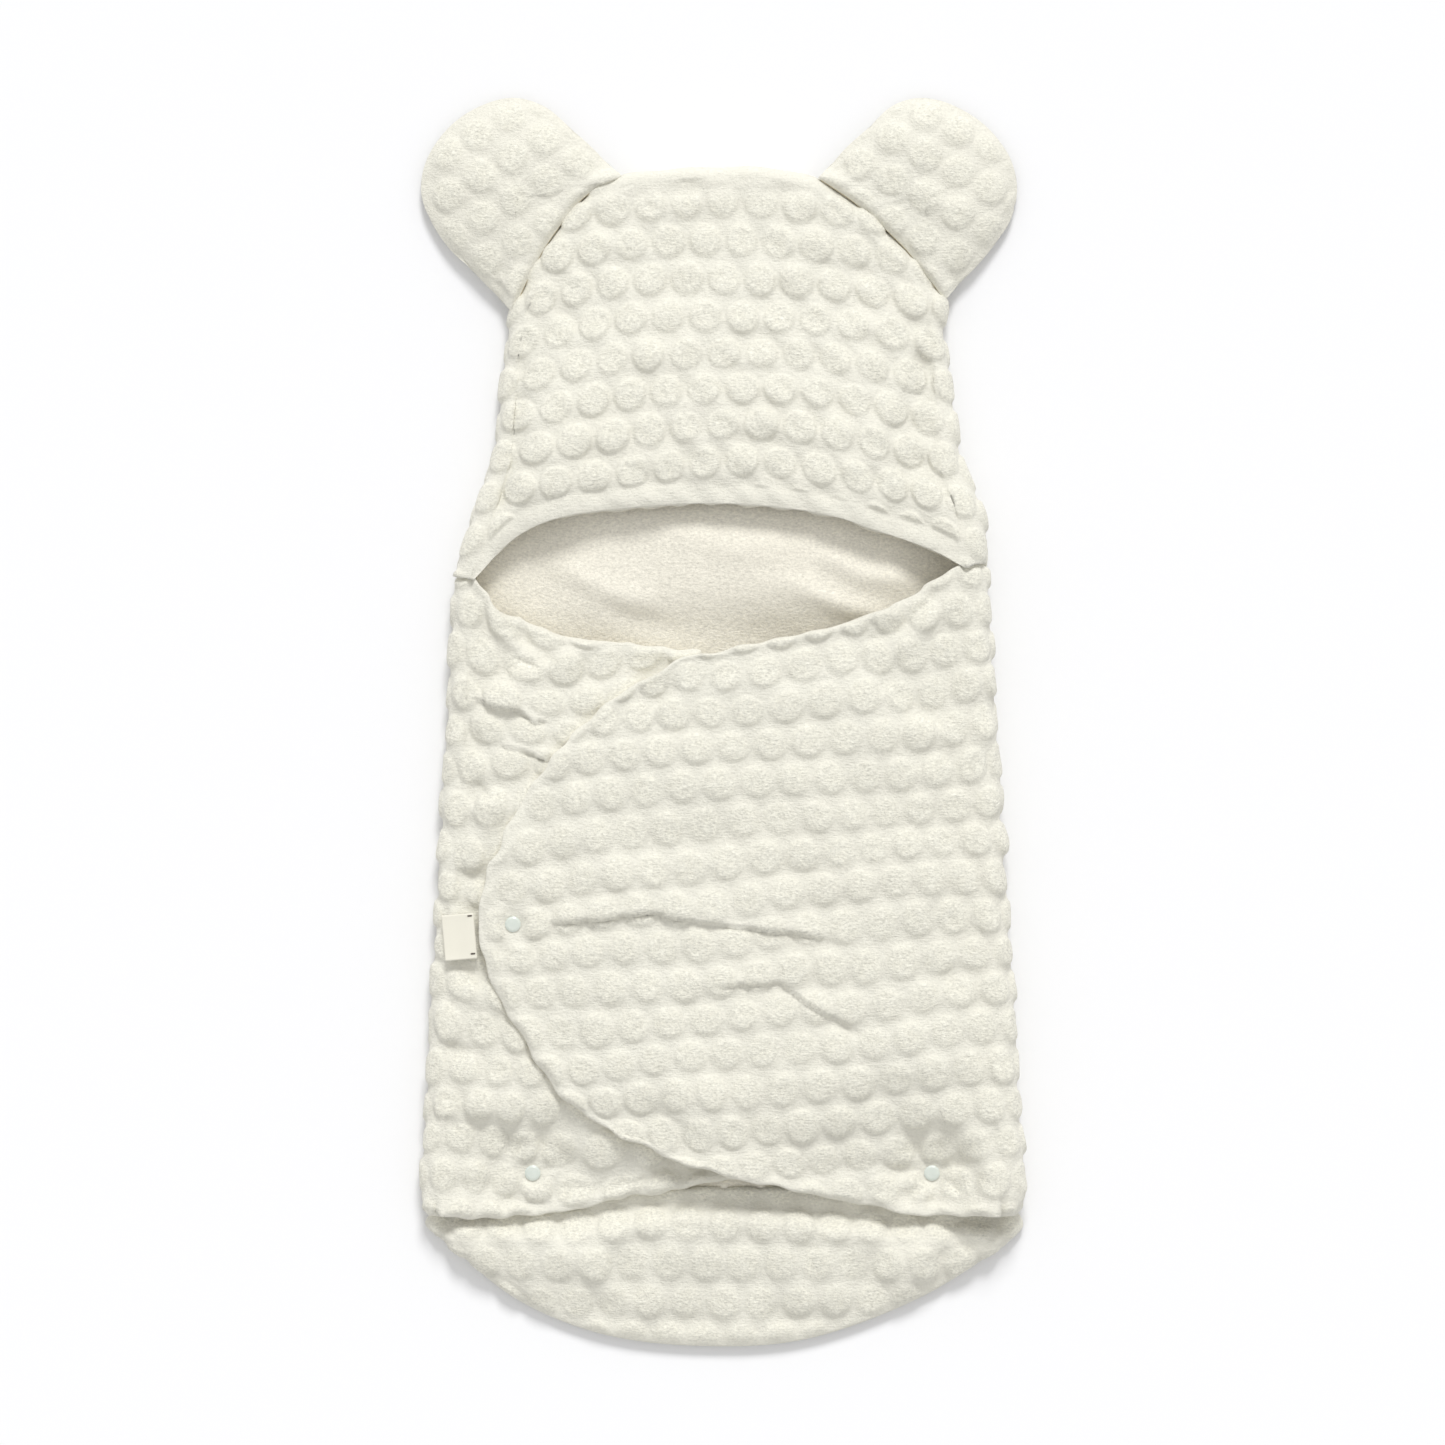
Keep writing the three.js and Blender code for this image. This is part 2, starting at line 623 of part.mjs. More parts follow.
// ---- tail, below the back ----
{
  const top = straight(drawn([TAIL_LEFT, TAIL_TOP]), drawn([TAIL_RIGHT, TAIL_TOP]));
  const curve = spline(TAIL_CURVE.map(drawn));
  const patch = coons(top, curve, straight(top(0), curve(0)), straight(top(1), curve(1)));
  const down = new THREE.Vector3(0, 0, -1);
  const uLines = gridLines(12, WIDTH, true, true, []);
  const vLines = gridLines(4, TAIL_DEPTH, true, true, []);
  const face = (i, j) => {
    const plan = patch(uLines[i], vLines[j]);
    const across = Math.min(uLines[i], 1 - uLines[i]) * WIDTH;
    const free = Math.min(across, Math.min(vLines[j], 1 - vLines[j]) * TAIL_DEPTH);
    return { point: new THREE.Vector3(plan.x, plan.y, 0), out: down, thickness: edgeThickness(free) };
  };
  addPanel('tail', uLines.length, vLines.length, face, [], IVORY);
}

// ---- ears: a front and a back shell around a pad of wadding ----
function dish(rim, centre, rings, topOf, baseOf) {
  const points = [];
  const tri = [];
  const around = rim.length;
  for (const height of [topOf, baseOf]) {
    for (const ring of rings) {
      for (const p of rim) {
        const q = centre.clone().lerp(p, ring);
        points.push(q.x, q.y, height(ring));
      }
    }
    points.push(centre.x, centre.y, height(0));
  }
  const layer = rings.length * around + 1;
  for (const [start, turn] of [[0, false], [layer, true]]) {
    const face = (a, b, c) => (turn ? tri.push(a, c, b) : tri.push(a, b, c));
    for (let r = 0; r < rings.length; r += 1) {
      for (let k = 0; k < around; k += 1) {
        const next = (k + 1) % around;
        const a = start + r * around + k;
        const b = start + r * around + next;
        if (r + 1 === rings.length) {
          face(a, b, start + layer - 1);
        } else {
          const c = start + (r + 1) * around + next;
          const d = start + (r + 1) * around + k;
          face(a, b, c);
          face(a, c, d);
        }
      }
    }
  }
  for (let k = 0; k < around; k += 1) {
    const next = (k + 1) % around;
    tri.push(k, layer + k, layer + next, k, layer + next, next);
  }
  return cleaned(points, tri);
}

function ear(name, seam, rimPoints, centrePoint) {
  const centre = drawn(centrePoint);
  const seamLine = spline(seam.map(drawn));
  const root = [];
  for (let k = 0; k < EAR_ROOT_POINTS; k += 1) {
    const p = seamLine(k / (EAR_ROOT_POINTS - 1));
    root.push(p.add(centre.clone().sub(p).normalize().multiplyScalar(EAR_SEAM_GAP)));
  }
  const outer = spline([root[root.length - 1], ...rimPoints.map(drawn), root[0]]);
  const rim = [...root];
  for (let k = 1; k < EAR_RIM_POINTS; k += 1) rim.push(outer(k / EAR_RIM_POINTS));
  const front = (r) => EAR_RIM_HEIGHT + SHELL_PLY + PLY_GAP / 2
    + (EAR_TOP - EAR_RIM_HEIGHT - SHELL_PLY) * (1 - r ** EAR_TOP_POWER);
  const rear = (r) => (EAR_RIM_HEIGHT - SHELL_PLY - PLY_GAP / 2) * r ** EAR_BASE_POWER;
  add(`${name}_front`, dish(rim, centre, EAR_RINGS, front, (r) => front(r) - SHELL_PLY), IVORY, 0.9);
  add(`${name}_back`, dish(rim, centre, EAR_RINGS, (r) => rear(r) + SHELL_PLY, rear), IVORY, 0.9);
  const core = EAR_RINGS.map((r) => r * EAR_CORE_SHARE);
  const over = (r) => front(r) - SHELL_PLY - 2 * PLY_GAP;
  const under = (r) => rear(r) + SHELL_PLY + 2 * PLY_GAP;
  add(`${name}_wadding`, dish(rim, centre, core, over, under), WADDING_WHITE, 0.9);
}
ear('left_ear', EAR_SEAM_LEFT, EAR_RIM_LEFT, EAR_CENTRE_LEFT);
ear('right_ear', [...EAR_SEAM_RIGHT], EAR_RIM_RIGHT, EAR_CENTRE_RIGHT);

// ---- snaps: a cap and pin on one side of the fabric, a socket or stud on the other ----
function turned(profile, spot, height, flip) {
  const outline = profile.map(([r, z]) => new THREE.Vector2(r, z));
  const geometry = new THREE.LatheGeometry(outline, SNAP_SIDES);
  geometry.deleteAttribute('normal');
  geometry.deleteAttribute('uv');
  geometry.rotateX(flip ? -Math.PI / 2 : Math.PI / 2);
  geometry.translate(spot.x, spot.y, height);
  return cleaned(Array.from(geometry.attributes.position.array), Array.from(geometry.index.array));
}

function capProfile(pinLength) {
  return [
    [0, -pinLength], [SNAP_PIN_RADIUS, -pinLength], [SNAP_PIN_RADIUS, 0],
    [SNAP_CAP_RADIUS, 0], [SNAP_CAP_RADIUS, SNAP_CAP_RIM],
    [SNAP_CAP_RADIUS * 0.72, SNAP_CAP_DOME * 0.86], [0, SNAP_CAP_DOME],
  ];
}

const socketProfile = [
  [SNAP_HOLE_RADIUS, 0], [SOCKET_RADIUS, 0], [SOCKET_RADIUS, SOCKET_HEIGHT],
  [SOCKET_BORE, SOCKET_HEIGHT], [SOCKET_BORE, SOCKET_FLOOR], [SNAP_HOLE_RADIUS, SOCKET_FLOOR],
  [SNAP_HOLE_RADIUS, 0],
];
const studProfile = [
  [SNAP_HOLE_RADIUS, 0], [STUD_RADIUS, 0], [STUD_RADIUS, STUD_BASE], [STUD_KNOB, STUD_BASE],
  [STUD_KNOB, STUD_HEIGHT * 0.75], [STUD_TIP, STUD_HEIGHT], [SNAP_HOLE_RADIUS, STUD_HEIGHT],
  [SNAP_HOLE_RADIUS, 0],
];

// level is the height half way between the two fabrics
function snapPair(name, spot, level) {
  const above = level + SNAP_REACH / 2;
  const below = level - SNAP_REACH / 2;
  const through = SNAP_FABRIC + 2 * SNAP_OFFSET;
  const upperPin = through + SOCKET_FLOOR * 0.7;
  const lowerPin = through + STUD_HEIGHT * 0.7;
  const upperCap = above + SNAP_FABRIC + SNAP_OFFSET;
  const lowerCap = below - SNAP_FABRIC - SNAP_OFFSET;
  add(`${name}_cap`, turned(capProfile(upperPin), spot, upperCap, false), SNAP_GREY, 0.3);
  add(`${name}_socket`, turned(socketProfile, spot, above - SNAP_OFFSET, true), SNAP_GREY, 0.3);
  add(`${name}_stud`, turned(studProfile, spot, below + SNAP_OFFSET, false), SNAP_GREY, 0.3);
  add(`${name}_back_cap`, turned(capProfile(lowerPin), spot, lowerCap, true), SNAP_GREY, 0.3);
}
snapPair('tip_snap', tipSpot, TIP_SNAP_LEVEL);
snapPair('left_foot_snap', leftSpot, FOOT_SNAP_LEVEL);
snapPair('right_foot_snap', rightSpot, FOOT_SNAP_LEVEL);

// ---- label: a strip folded on itself, sewn into the edge of the outer wing ----
{
  const root = drawn(LABEL_ROOT);
  const turn = THREE.MathUtils.degToRad(LABEL_TURN);
  const reachWay = new THREE.Vector2(-Math.cos(turn), -Math.sin(turn));
  const widthWay = new THREE.Vector2(-Math.sin(turn), Math.cos(turn));
  const fold = LABEL_FOLD + LABEL_PLY;
  const middle = INNER_TOP + 0.9 + fold / 2 + LABEL_PLY / 2;
  const path = [];
  const lift = (s) => LABEL_LIFT * (1 - smooth(s * 1.6));
  for (let n = 0; n <= LABEL_STEPS; n += 1) {
    const s = n / LABEL_STEPS;
    path.push([s * LABEL_REACH, middle + lift(s) + fold / 2, 90]);
  }
  for (const angle of [45, 0, -45]) {
    const a = THREE.MathUtils.degToRad(angle);
    const at = LABEL_REACH + (fold / 2) * Math.cos(a);
    path.push([at, middle + (fold / 2) * Math.sin(a), angle]);
  }
  for (let n = LABEL_STEPS; n >= 0; n -= 1) {
    const s = n / LABEL_STEPS;
    path.push([s * LABEL_REACH, middle + lift(s) - fold / 2, -90]);
  }
  const top = [];
  const base = [];
  for (const [reach, height, angle] of path) {
    const a = THREE.MathUtils.degToRad(angle);
    const rows = [LABEL_PLY / 2, -LABEL_PLY / 2].map((off) => [-1, 1].map((end) => {
      const r = reach + Math.cos(a) * off;
      const p = root.clone().addScaledVector(reachWay, r).addScaledVector(widthWay, (end * LABEL_WIDTH) / 2);
      return new THREE.Vector3(p.x, p.y, height + Math.sin(a) * off);
    }));
    top.push(rows[0]);
    base.push(rows[1]);
  }
  add('label', closedFromGrids(top, base), LABEL_CREAM, 0.85);
  for (const [name, end] of [['label_stitch_upper', 1], ['label_stitch_lower', -1]]) {
    const box = new THREE.BoxGeometry(STITCH_LENGTH, STITCH_WIDTH, STITCH_HEIGHT);
    box.rotateZ(turn);
    const across = end * (LABEL_WIDTH / 2 - STITCH_INSET);
    const p = root.clone().addScaledVector(reachWay, STITCH_LENGTH).addScaledVector(widthWay, across);
    const over = lift(STITCH_LENGTH / LABEL_REACH) + fold / 2 + LABEL_PLY / 2;
    box.translate(p.x, p.y, middle + over + STITCH_HEIGHT / 2 + PLY_GAP);
    box.deleteAttribute('normal');
    box.deleteAttribute('uv');
    add(name, outward(mergeVertices(box, 1e-4)), STITCH_BROWN, 0.9);
  }
}

// The origin is under the middle of the wrap.
const bounds = new THREE.Box3().setFromObject(group);
const middleOfAll = bounds.getCenter(new THREE.Vector3());
group.children.forEach((mesh) => mesh.geometry.translate(-middleOfAll.x, -middleOfAll.y, -bounds.min.z));

export default group;
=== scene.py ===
"""Hooded baby wrap with ears, in dimpled plush, lying closed on a pale floor."""
import json
import math

import bpy
import numpy as np
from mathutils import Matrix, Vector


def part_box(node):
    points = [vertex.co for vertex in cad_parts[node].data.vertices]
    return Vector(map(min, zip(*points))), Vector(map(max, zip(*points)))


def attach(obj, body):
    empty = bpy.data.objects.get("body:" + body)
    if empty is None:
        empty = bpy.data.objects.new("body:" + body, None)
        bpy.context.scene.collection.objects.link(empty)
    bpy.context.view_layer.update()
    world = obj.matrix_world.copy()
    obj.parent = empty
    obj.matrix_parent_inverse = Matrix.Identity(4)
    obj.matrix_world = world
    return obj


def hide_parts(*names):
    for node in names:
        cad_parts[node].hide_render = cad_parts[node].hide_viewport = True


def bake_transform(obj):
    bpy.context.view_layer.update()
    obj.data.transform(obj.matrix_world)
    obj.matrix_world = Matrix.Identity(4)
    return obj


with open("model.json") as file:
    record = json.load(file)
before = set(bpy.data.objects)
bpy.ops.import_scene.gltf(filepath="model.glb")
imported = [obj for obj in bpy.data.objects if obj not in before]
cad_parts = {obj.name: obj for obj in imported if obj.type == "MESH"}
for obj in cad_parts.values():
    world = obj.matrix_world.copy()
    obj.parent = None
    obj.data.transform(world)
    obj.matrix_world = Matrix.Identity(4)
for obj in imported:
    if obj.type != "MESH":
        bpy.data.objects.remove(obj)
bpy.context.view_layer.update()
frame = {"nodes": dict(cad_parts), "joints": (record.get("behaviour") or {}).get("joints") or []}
MM = 0.001

# ---------------- sizes, in millimetres
PANEL = 8.4            # shell, wadding and lining together
PLUSH = 5.6            # the shell with its wadding
LINING_GAP = 0.3       # between wadding and lining
INNER_TOP = 25.8
OUTER_TOP = 36.4
HOOD_TOP = 38.0
INNER_ROLL = INNER_TOP / 2
OUTER_ROLL = OUTER_TOP / 2
CROWN_ROLL = 9.4       # the hood's edge is rolled under less at its crown
SNAP_FABRIC = 4.2      # a panel's thickness where a snap grips it
SNAP_REACH = 4.0
TAIL_HINGE, BACK_END = -336, -318  # drawn heights, as the outlines' are
DOT_PITCH, DOT_ROW, DOT_RADIUS, DOT_HEIGHT = 25.0, 25.5, 12.6, 2.65

JOINTS = {j["name"]: j for j in frame["joints"]}
tip_lo, tip_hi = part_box("tip_snap_cap")
DRAWN_TIP = (-143, -137)  # the tip snap's place in the outlines below; SHIFT brings them into the frame
SHIFT = np.array([(tip_lo.x + tip_hi.x) / 2 / MM - DRAWN_TIP[0],
                  (tip_lo.y + tip_hi.y) / 2 / MM - DRAWN_TIP[1]])


# ---------------- plane curves and patches
def pts(points):
    return np.array(points, float) + SHIFT


def between(p, q, start, end, t):
    return (end - t) / (end - start) * p + (t - start) / (end - start) * q


def spline(points, steps=24):
    """Centripetal curve through the points; returns f(t) for t from 0 to 1 by arc length."""
    p = np.array(points, float)
    p = np.vstack([2 * p[0] - p[1], p, 2 * p[-1] - p[-2]])
    out = []
    for k in range(1, len(p) - 2):
        a, b, c, d = p[k - 1:k + 3]
        t0 = 0.0
        t1 = t0 + max(np.linalg.norm(b - a), 1e-6) ** 0.5
        t2 = t1 + max(np.linalg.norm(c - b), 1e-6) ** 0.5
        t3 = t2 + max(np.linalg.norm(d - c), 1e-6) ** 0.5
        for t in np.linspace(t1, t2, steps, endpoint=False):
            a1, a2, a3 = between(a, b, t0, t1, t), between(b, c, t1, t2, t), between(c, d, t2, t3, t)
            b1, b2 = between(a1, a2, t0, t2, t), between(a2, a3, t1, t3, t)
            out.append(between(b1, b2, t1, t2, t))
    out.append(p[-2])
    out = np.array(out)
    run = np.concatenate([[0], np.cumsum(np.linalg.norm(np.diff(out, axis=0), axis=1))])
    total = run[-1]

    def f(t):
        s = np.clip(np.asarray(t, float), 0, 1) * total
        return np.stack([np.interp(s, run, out[:, 0]), np.interp(s, run, out[:, 1])], -1)
    f.length = total
    return f


def coons(neck, hem, side, edge, u, v):
    """Grid of plan points. neck and hem run with u, side and edge with v."""
    un, vn = u[:, None, None], v[None, :, None]
    c0, c1, d0, d1 = neck(u)[:, None], hem(u)[:, None], side(v)[None], edge(v)[None]
    corners = ((1 - un) * (1 - vn) * neck(0.0) + un * (1 - vn) * neck(1.0)
               + (1 - un) * vn * hem(0.0) + un * vn * hem(1.0))
    return (1 - vn) * c0 + vn * c1 + (1 - un) * d0 + un * d1 - corners


def smooth(t):
    t = np.clip(t, 0, 1)
    return t * t * (3 - 2 * t)


def lines(length, spacing, start_free=True, end_free=True):
    """Even grid lines from 0 to 1, with finer ones at free edges."""
    n = max(int(round(length / spacing)), 4)
    t = set(np.round(np.linspace(0, 1, n + 1), 6))
    for k in (0.5, 1.2, 2.1, 3.3, 5.0):
        if start_free:
            t.add(round(k / length, 6))
        if end_free:
            t.add(round(1 - k / length, 6))
    t = np.array(sorted(t))
    keep = [0]
    for i in range(1, len(t)):
        if (t[i] - t[keep[-1]]) * length > 0.45:
            keep.append(i)
    t = t[keep]
    t[-1] = 1.0
    return t


# ---------------- folds and soft unevenness
def unevenness(xy, seed, wave, height):
    """Smooth random bumps of about that wavelength."""
    rng = np.random.default_rng(seed)
    z = np.zeros(xy.shape[:-1])
    for _ in range(9):
        angle, phase = rng.uniform(0, 2 * math.pi, 2)
        k = 2 * math.pi / (wave * rng.uniform(0.7, 1.6))
        z += np.sin(k * (xy[..., 0] * math.cos(angle) + xy[..., 1] * math.sin(angle)) + phase)
    return height * z / 3


def along(xy, line):
    """(signed distance to a line of points, positive on its left, and the share of its length there)"""
    p = np.array(line, float) + SHIFT
    seg = np.diff(p, axis=0)
    lengths = np.linalg.norm(seg, axis=1)
    run = np.concatenate([[0], np.cumsum(lengths)])
    best = np.full(xy.shape[:-1], 1e9)
    side = np.zeros(xy.shape[:-1])
    share = np.zeros(xy.shape[:-1])
    for k in range(len(seg)):
        rel = xy - p[k]
        t = np.clip((rel @ seg[k]) / lengths[k] ** 2, 0, 1)
        off = rel - t[..., None] * seg[k]
        d = np.linalg.norm(off, axis=-1)
        cross = seg[k, 0] * rel[..., 1] - seg[k, 1] * rel[..., 0]
        near = d < best
        best = np.where(near, d, best)
        side = np.where(near, np.sign(cross), side)
        share = np.where(near, (run[k] + t * lengths[k]) / run[-1], share)
    return best * np.where(side == 0, 1, side), share


def fold(xy, line, height, width, kind="ridge"):
    """A ridge or valley along a line, or a ledge: raised on its left and tucked in on its right."""
    d, t = along(xy, line)
    fade = np.sin(np.pi * np.clip(t, 0.02, 0.98)) ** 0.6
    if kind == "ridge":
        return height * fade * np.exp(-(d / width) ** 2)
    up = np.exp(-np.maximum(d, 0) / width) * smooth((d + 1.2) / 2.6)
    low = -0.75 * np.exp(-np.maximum(-d, 0) / (0.55 * width)) * smooth((1.2 - d) / 2.6)
    ends = smooth(np.minimum(t, 1 - t) * 6) * (np.abs(d) < 6 * width)
    return height * ends * (up + low)


def folds(xy, listed):
    z = np.zeros(xy.shape[:-1])
    for line, height, width, *kind in listed:
        z = z + fold(xy, line, height, width, *kind)
    return z


def wavering(plan, free, seed, amount=1.3):
    """Moves plan points near a free edge a little, so that the edge wavers as soft cloth does."""
    near = (1 - smooth(free / 26))[..., None]
    shift = [unevenness(plan, seed, 24, amount), unevenness(plan, seed + 1, 27, amount)]
    return plan + near * np.stack(shift, -1)


# ---------------- node helpers and materials
def srgb(code):
    c = [int(code[k:k + 2], 16) / 255 for k in (1, 3, 5)]
    return [x / 12.92 if x <= 0.04045 else ((x + 0.055) / 1.055) ** 2.4 for x in c] + [1.0]


def put(tree, n, ins):
    """Fills a node's inputs: a socket is linked, anything else becomes the input's own value."""
    for k, v in ins.items():
        if isinstance(v, bpy.types.NodeSocket):
            tree.links.new(v, n.inputs[k])
        else:
            n.inputs[k].default_value = v
    return n


def node(tree, kind, ins=None, **props):
    n = tree.nodes.new(kind)
    for k, v in props.items():
        setattr(n, k, v)
    return put(tree, n, ins or {})


def calc(tree, op, *ins):
    return node(tree, "ShaderNodeMath", dict(enumerate(ins)), operation=op).outputs[0]


def principled(name):
    m = bpy.data.materials.new(name)
    m.use_nodes = True
    return m, m.node_tree, m.node_tree.nodes["Principled BSDF"]


def mix(tree, fac, a, b):
    return node(tree, "ShaderNodeMix", {0: fac, 6: a, 7: b}, data_type="RGBA").outputs[2]


def plush(name, valley, dome, shade, pile=0.55, streak=True, grain=0.4):
    """Cut-pile polyester plush, heat-embossed. The pile stands and catches light at its tips, so domes
    read creamy and grainy, valleys smooth and lighter, with a soft sheen at grazing angles."""
    m, t, b = principled(name)
    place = node(t, "ShaderNodeTexCoord").outputs["Object"]
    rise = node(t, "ShaderNodeAttribute", attribute_name="rise").outputs["Fac"]
    lain = node(t, "ShaderNodeMapping", {"Vector": place, "Scale": (430.0, 700.0, 600.0)})
    pile_noise = node(t, "ShaderNodeTexNoise",
                      {"Vector": lain.outputs[0], "Scale": 1.0, "Detail": 4.0, "Roughness": 0.75})
    clump = node(t, "ShaderNodeTexNoise", {"Vector": place, "Scale": 150.0, "Detail": 2.0})
    broad = node(t, "ShaderNodeTexNoise", {"Vector": place, "Scale": 7.0, "Detail": 2.0})
    stretched = node(t, "ShaderNodeMapping", {"Vector": place, "Scale": (90.0, 900.0, 500.0)})
    knit = node(t, "ShaderNodeTexNoise", {"Vector": stretched.outputs[0], "Scale": 1.0, "Detail": 2.0})
    ground = mix(t, broad.outputs["Fac"], srgb(valley), srgb(shade))
    tips = mix(t, clump.outputs["Fac"], srgb(dome), srgb(valley))
    colour = mix(t, rise, ground, tips)
    # pile tips sparkle where the pile stands up on a dome, and less where the heat pressed it flat
    tall = node(t, "ShaderNodeMapRange", {"Value": rise, "To Min": grain, "To Max": 1.2})
    centred = calc(t, "SUBTRACT", pile_noise.outputs["Fac"], 0.505)
    speck = calc(t, "MULTIPLY_ADD", centred, tall.outputs[0], 1.0)
    graded = node(t, "ShaderNodeVectorMath", {0: colour, 1: speck}, operation="MULTIPLY")
    wave = calc(t, "MULTIPLY", knit.outputs["Fac"], 0.3 if streak else 0.1)
    height = calc(t, "ADD", calc(t, "ADD", pile_noise.outputs["Fac"], wave), clump.outputs["Fac"])
    bump = node(t, "ShaderNodeBump", {"Height": height, "Strength": pile, "Distance": 0.0014})
    put(t, b, {"Base Color": graded.outputs[0], "Normal": bump.outputs[0], "Roughness": 0.92,
               "Specular IOR Level": 0.12, "Sheen Weight": 0.25, "Sheen Roughness": 0.5})
    return m


PLUSH_MAT = plush("dimpled_plush", "#EFEDE1", "#EAE7D8", "#EBE8DB", pile=0.85)
LINING_MAT = plush("plush_lining", "#F4F0E3", "#F4F0E3", "#EEE9DA", pile=0.6, streak=False, grain=1.0)


def snap_plastic():
    """Moulded acetal snap, slightly translucent: soft highlight, faint cloudiness from the mould."""
    m, t, b = principled("snap_plastic")
    place = node(t, "ShaderNodeTexCoord").outputs["Object"]
    cloud = node(t, "ShaderNodeTexNoise", {"Vector": place, "Scale": 260.0, "Detail": 2.0})
    colour = mix(t, cloud.outputs["Fac"], srgb("#DDE2DA"), srgb("#CBD3CB"))
    rough = node(t, "ShaderNodeMapRange", {"Value": cloud.outputs["Fac"], "To Min": 0.22, "To Max": 0.38})
    put(t, b, {"Base Color": colour, "Roughness": rough.outputs[0], "Subsurface Weight": 0.25,
               "Subsurface Radius": (0.002, 0.002, 0.002), "Coat Weight": 0.25})
    return m


def label_tape(name, warp_code, weft_code):
    """Woven satin label tape: fine warp ribs along its length, a soft directional shine."""
    m, t, b = principled(name)
    place = node(t, "ShaderNodeTexCoord").outputs["Object"]
    ribs = node(t, "ShaderNodeTexWave", {"Vector": place, "Scale": 900.0, "Distortion": 0.6},
                bands_direction="Y")
    weft = node(t, "ShaderNodeTexWave", {"Vector": place, "Scale": 700.0, "Distortion": 0.4},
                bands_direction="X")
    both = calc(t, "MULTIPLY", ribs.outputs["Fac"], weft.outputs["Fac"])
    colour = mix(t, both, srgb(weft_code), srgb(warp_code))
    bump = node(t, "ShaderNodeBump", {"Height": both, "Strength": 0.35, "Distance": 0.0002})
    put(t, b, {"Base Color": colour, "Normal": bump.outputs[0], "Roughness": 0.6, "Sheen Weight": 0.2})
    return m


SNAP_MAT = snap_plastic()
TAPE_MAT = label_tape("label_tape", "#F6F4E9", "#E6E2D2")
THREAD_MAT = label_tape("label_thread", "#5A4C3E", "#3B3129")
SEAM_MAT = label_tape("seam_thread", "#DDD2B8", "#C4B694")


# ---------------- raised dots, a Geometry Nodes tree
def dot_tree():
    """Raises round dots over the piece, in rows measured in the cloth's own millimetres. Every other row
    is half a pitch over."""
    tree = bpy.data.node_groups.new("raised_dots", "GeometryNodeTree")
    face = tree.interface
    face.new_socket("Geometry", in_out="INPUT", socket_type="NodeSocketGeometry")
    for label, value in (("Pitch", DOT_PITCH), ("Row", DOT_ROW), ("Radius", DOT_RADIUS),
                         ("Height", DOT_HEIGHT), ("Flat share", 0.72)):
        s = face.new_socket(label, in_out="INPUT", socket_type="NodeSocketFloat")
        s.default_value = value
    face.new_socket("Material", in_out="INPUT", socket_type="NodeSocketMaterial")
    face.new_socket("Geometry", in_out="OUTPUT", socket_type="NodeSocketGeometry")
    a = tree.nodes.new("NodeGroupInput")
    out = tree.nodes.new("NodeGroupOutput")

    def math_(op, *ins):
        return calc(tree, op, *ins)

    def times(x, y):
        return calc(tree, "MULTIPLY", x, y)

    def named(name, kind):
        return node(tree, "GeometryNodeInputNamedAttribute", {"Name": name}, data_type=kind).outputs[0]

    cloth, keep = named("cloth", "FLOAT_VECTOR"), named("dots", "FLOAT")
    parts = node(tree, "ShaderNodeSeparateXYZ", {0: cloth})
    row = math_("ROUND", math_("DIVIDE", parts.outputs[1], a.outputs["Row"]))
    half = times(math_("FLOORED_MODULO", row, 2.0), 0.5)
    column = math_("SUBTRACT", math_("DIVIDE", parts.outputs[0], a.outputs["Pitch"]), half)
    nearest = math_("ROUND", column)
    across = times(math_("SUBTRACT", column, nearest), a.outputs["Pitch"])
    down = math_("SUBTRACT", parts.outputs[1], times(row, a.outputs["Row"]))
    away = math_("SQRT", math_("ADD", times(across, across), times(down, down)))
    cell = node(tree, "ShaderNodeCombineXYZ", {0: nearest, 1: row}).outputs[0]
    luck = node(tree, "ShaderNodeTexWhiteNoise", {"Vector": cell}, noise_dimensions="3D").outputs["Value"]
    size = times(a.outputs["Radius"], math_("ADD", 0.94, times(luck, 0.08)))
    flat = times(size, a.outputs["Flat share"])
    ramp = node(tree, "ShaderNodeMapRange",
                {"Value": away, "From Min": flat, "From Max": size, "To Min": 1.0, "To Max": 0.0},
                interpolation_type="SMOOTHSTEP").outputs[0]
    crown = math_("SUBTRACT", 1.0, times(0.3, math_("POWER", math_("DIVIDE", away, size), 2.0)))
    rise = times(times(ramp, crown), keep)
    tall = times(a.outputs["Height"], math_("ADD", 0.8, times(luck, 0.4)))
    lift = times(times(rise, tall), MM)
    normal = node(tree, "GeometryNodeInputNormal").outputs[0]
    offset = node(tree, "ShaderNodeVectorMath", {0: normal, "Scale": lift}, operation="SCALE").outputs[0]
    stored = node(tree, "GeometryNodeStoreNamedAttribute",
                  {"Geometry": a.outputs["Geometry"], "Name": "rise", "Value": rise},
                  data_type="FLOAT", domain="POINT")
    moved = node(tree, "GeometryNodeSetPosition", {"Geometry": stored.outputs[0], "Offset": offset})
    real = node(tree, "GeometryNodeRealizeInstances", {"Geometry": moved.outputs[0]})
    made = node(tree, "GeometryNodeSetMaterial",
                {"Geometry": real.outputs[0], "Material": a.outputs["Material"]})
    tree.links.new(made.outputs[0], out.inputs[0])
    return tree


DOTS = dot_tree()


def made_mesh(name, verts, faces):
    mesh = bpy.data.meshes.new(name)
    mesh.from_pydata(verts, [], faces)
    return mesh


def placed(name, data):
    obj = bpy.data.objects.new(name, data)
    bpy.context.collection.objects.link(obj)
    return obj


def evaluated(obj):
    """A new mesh of the object with its modifiers applied."""
    bpy.context.view_layer.update()
    return bpy.data.meshes.new_from_object(obj.evaluated_get(bpy.context.evaluated_depsgraph_get()))


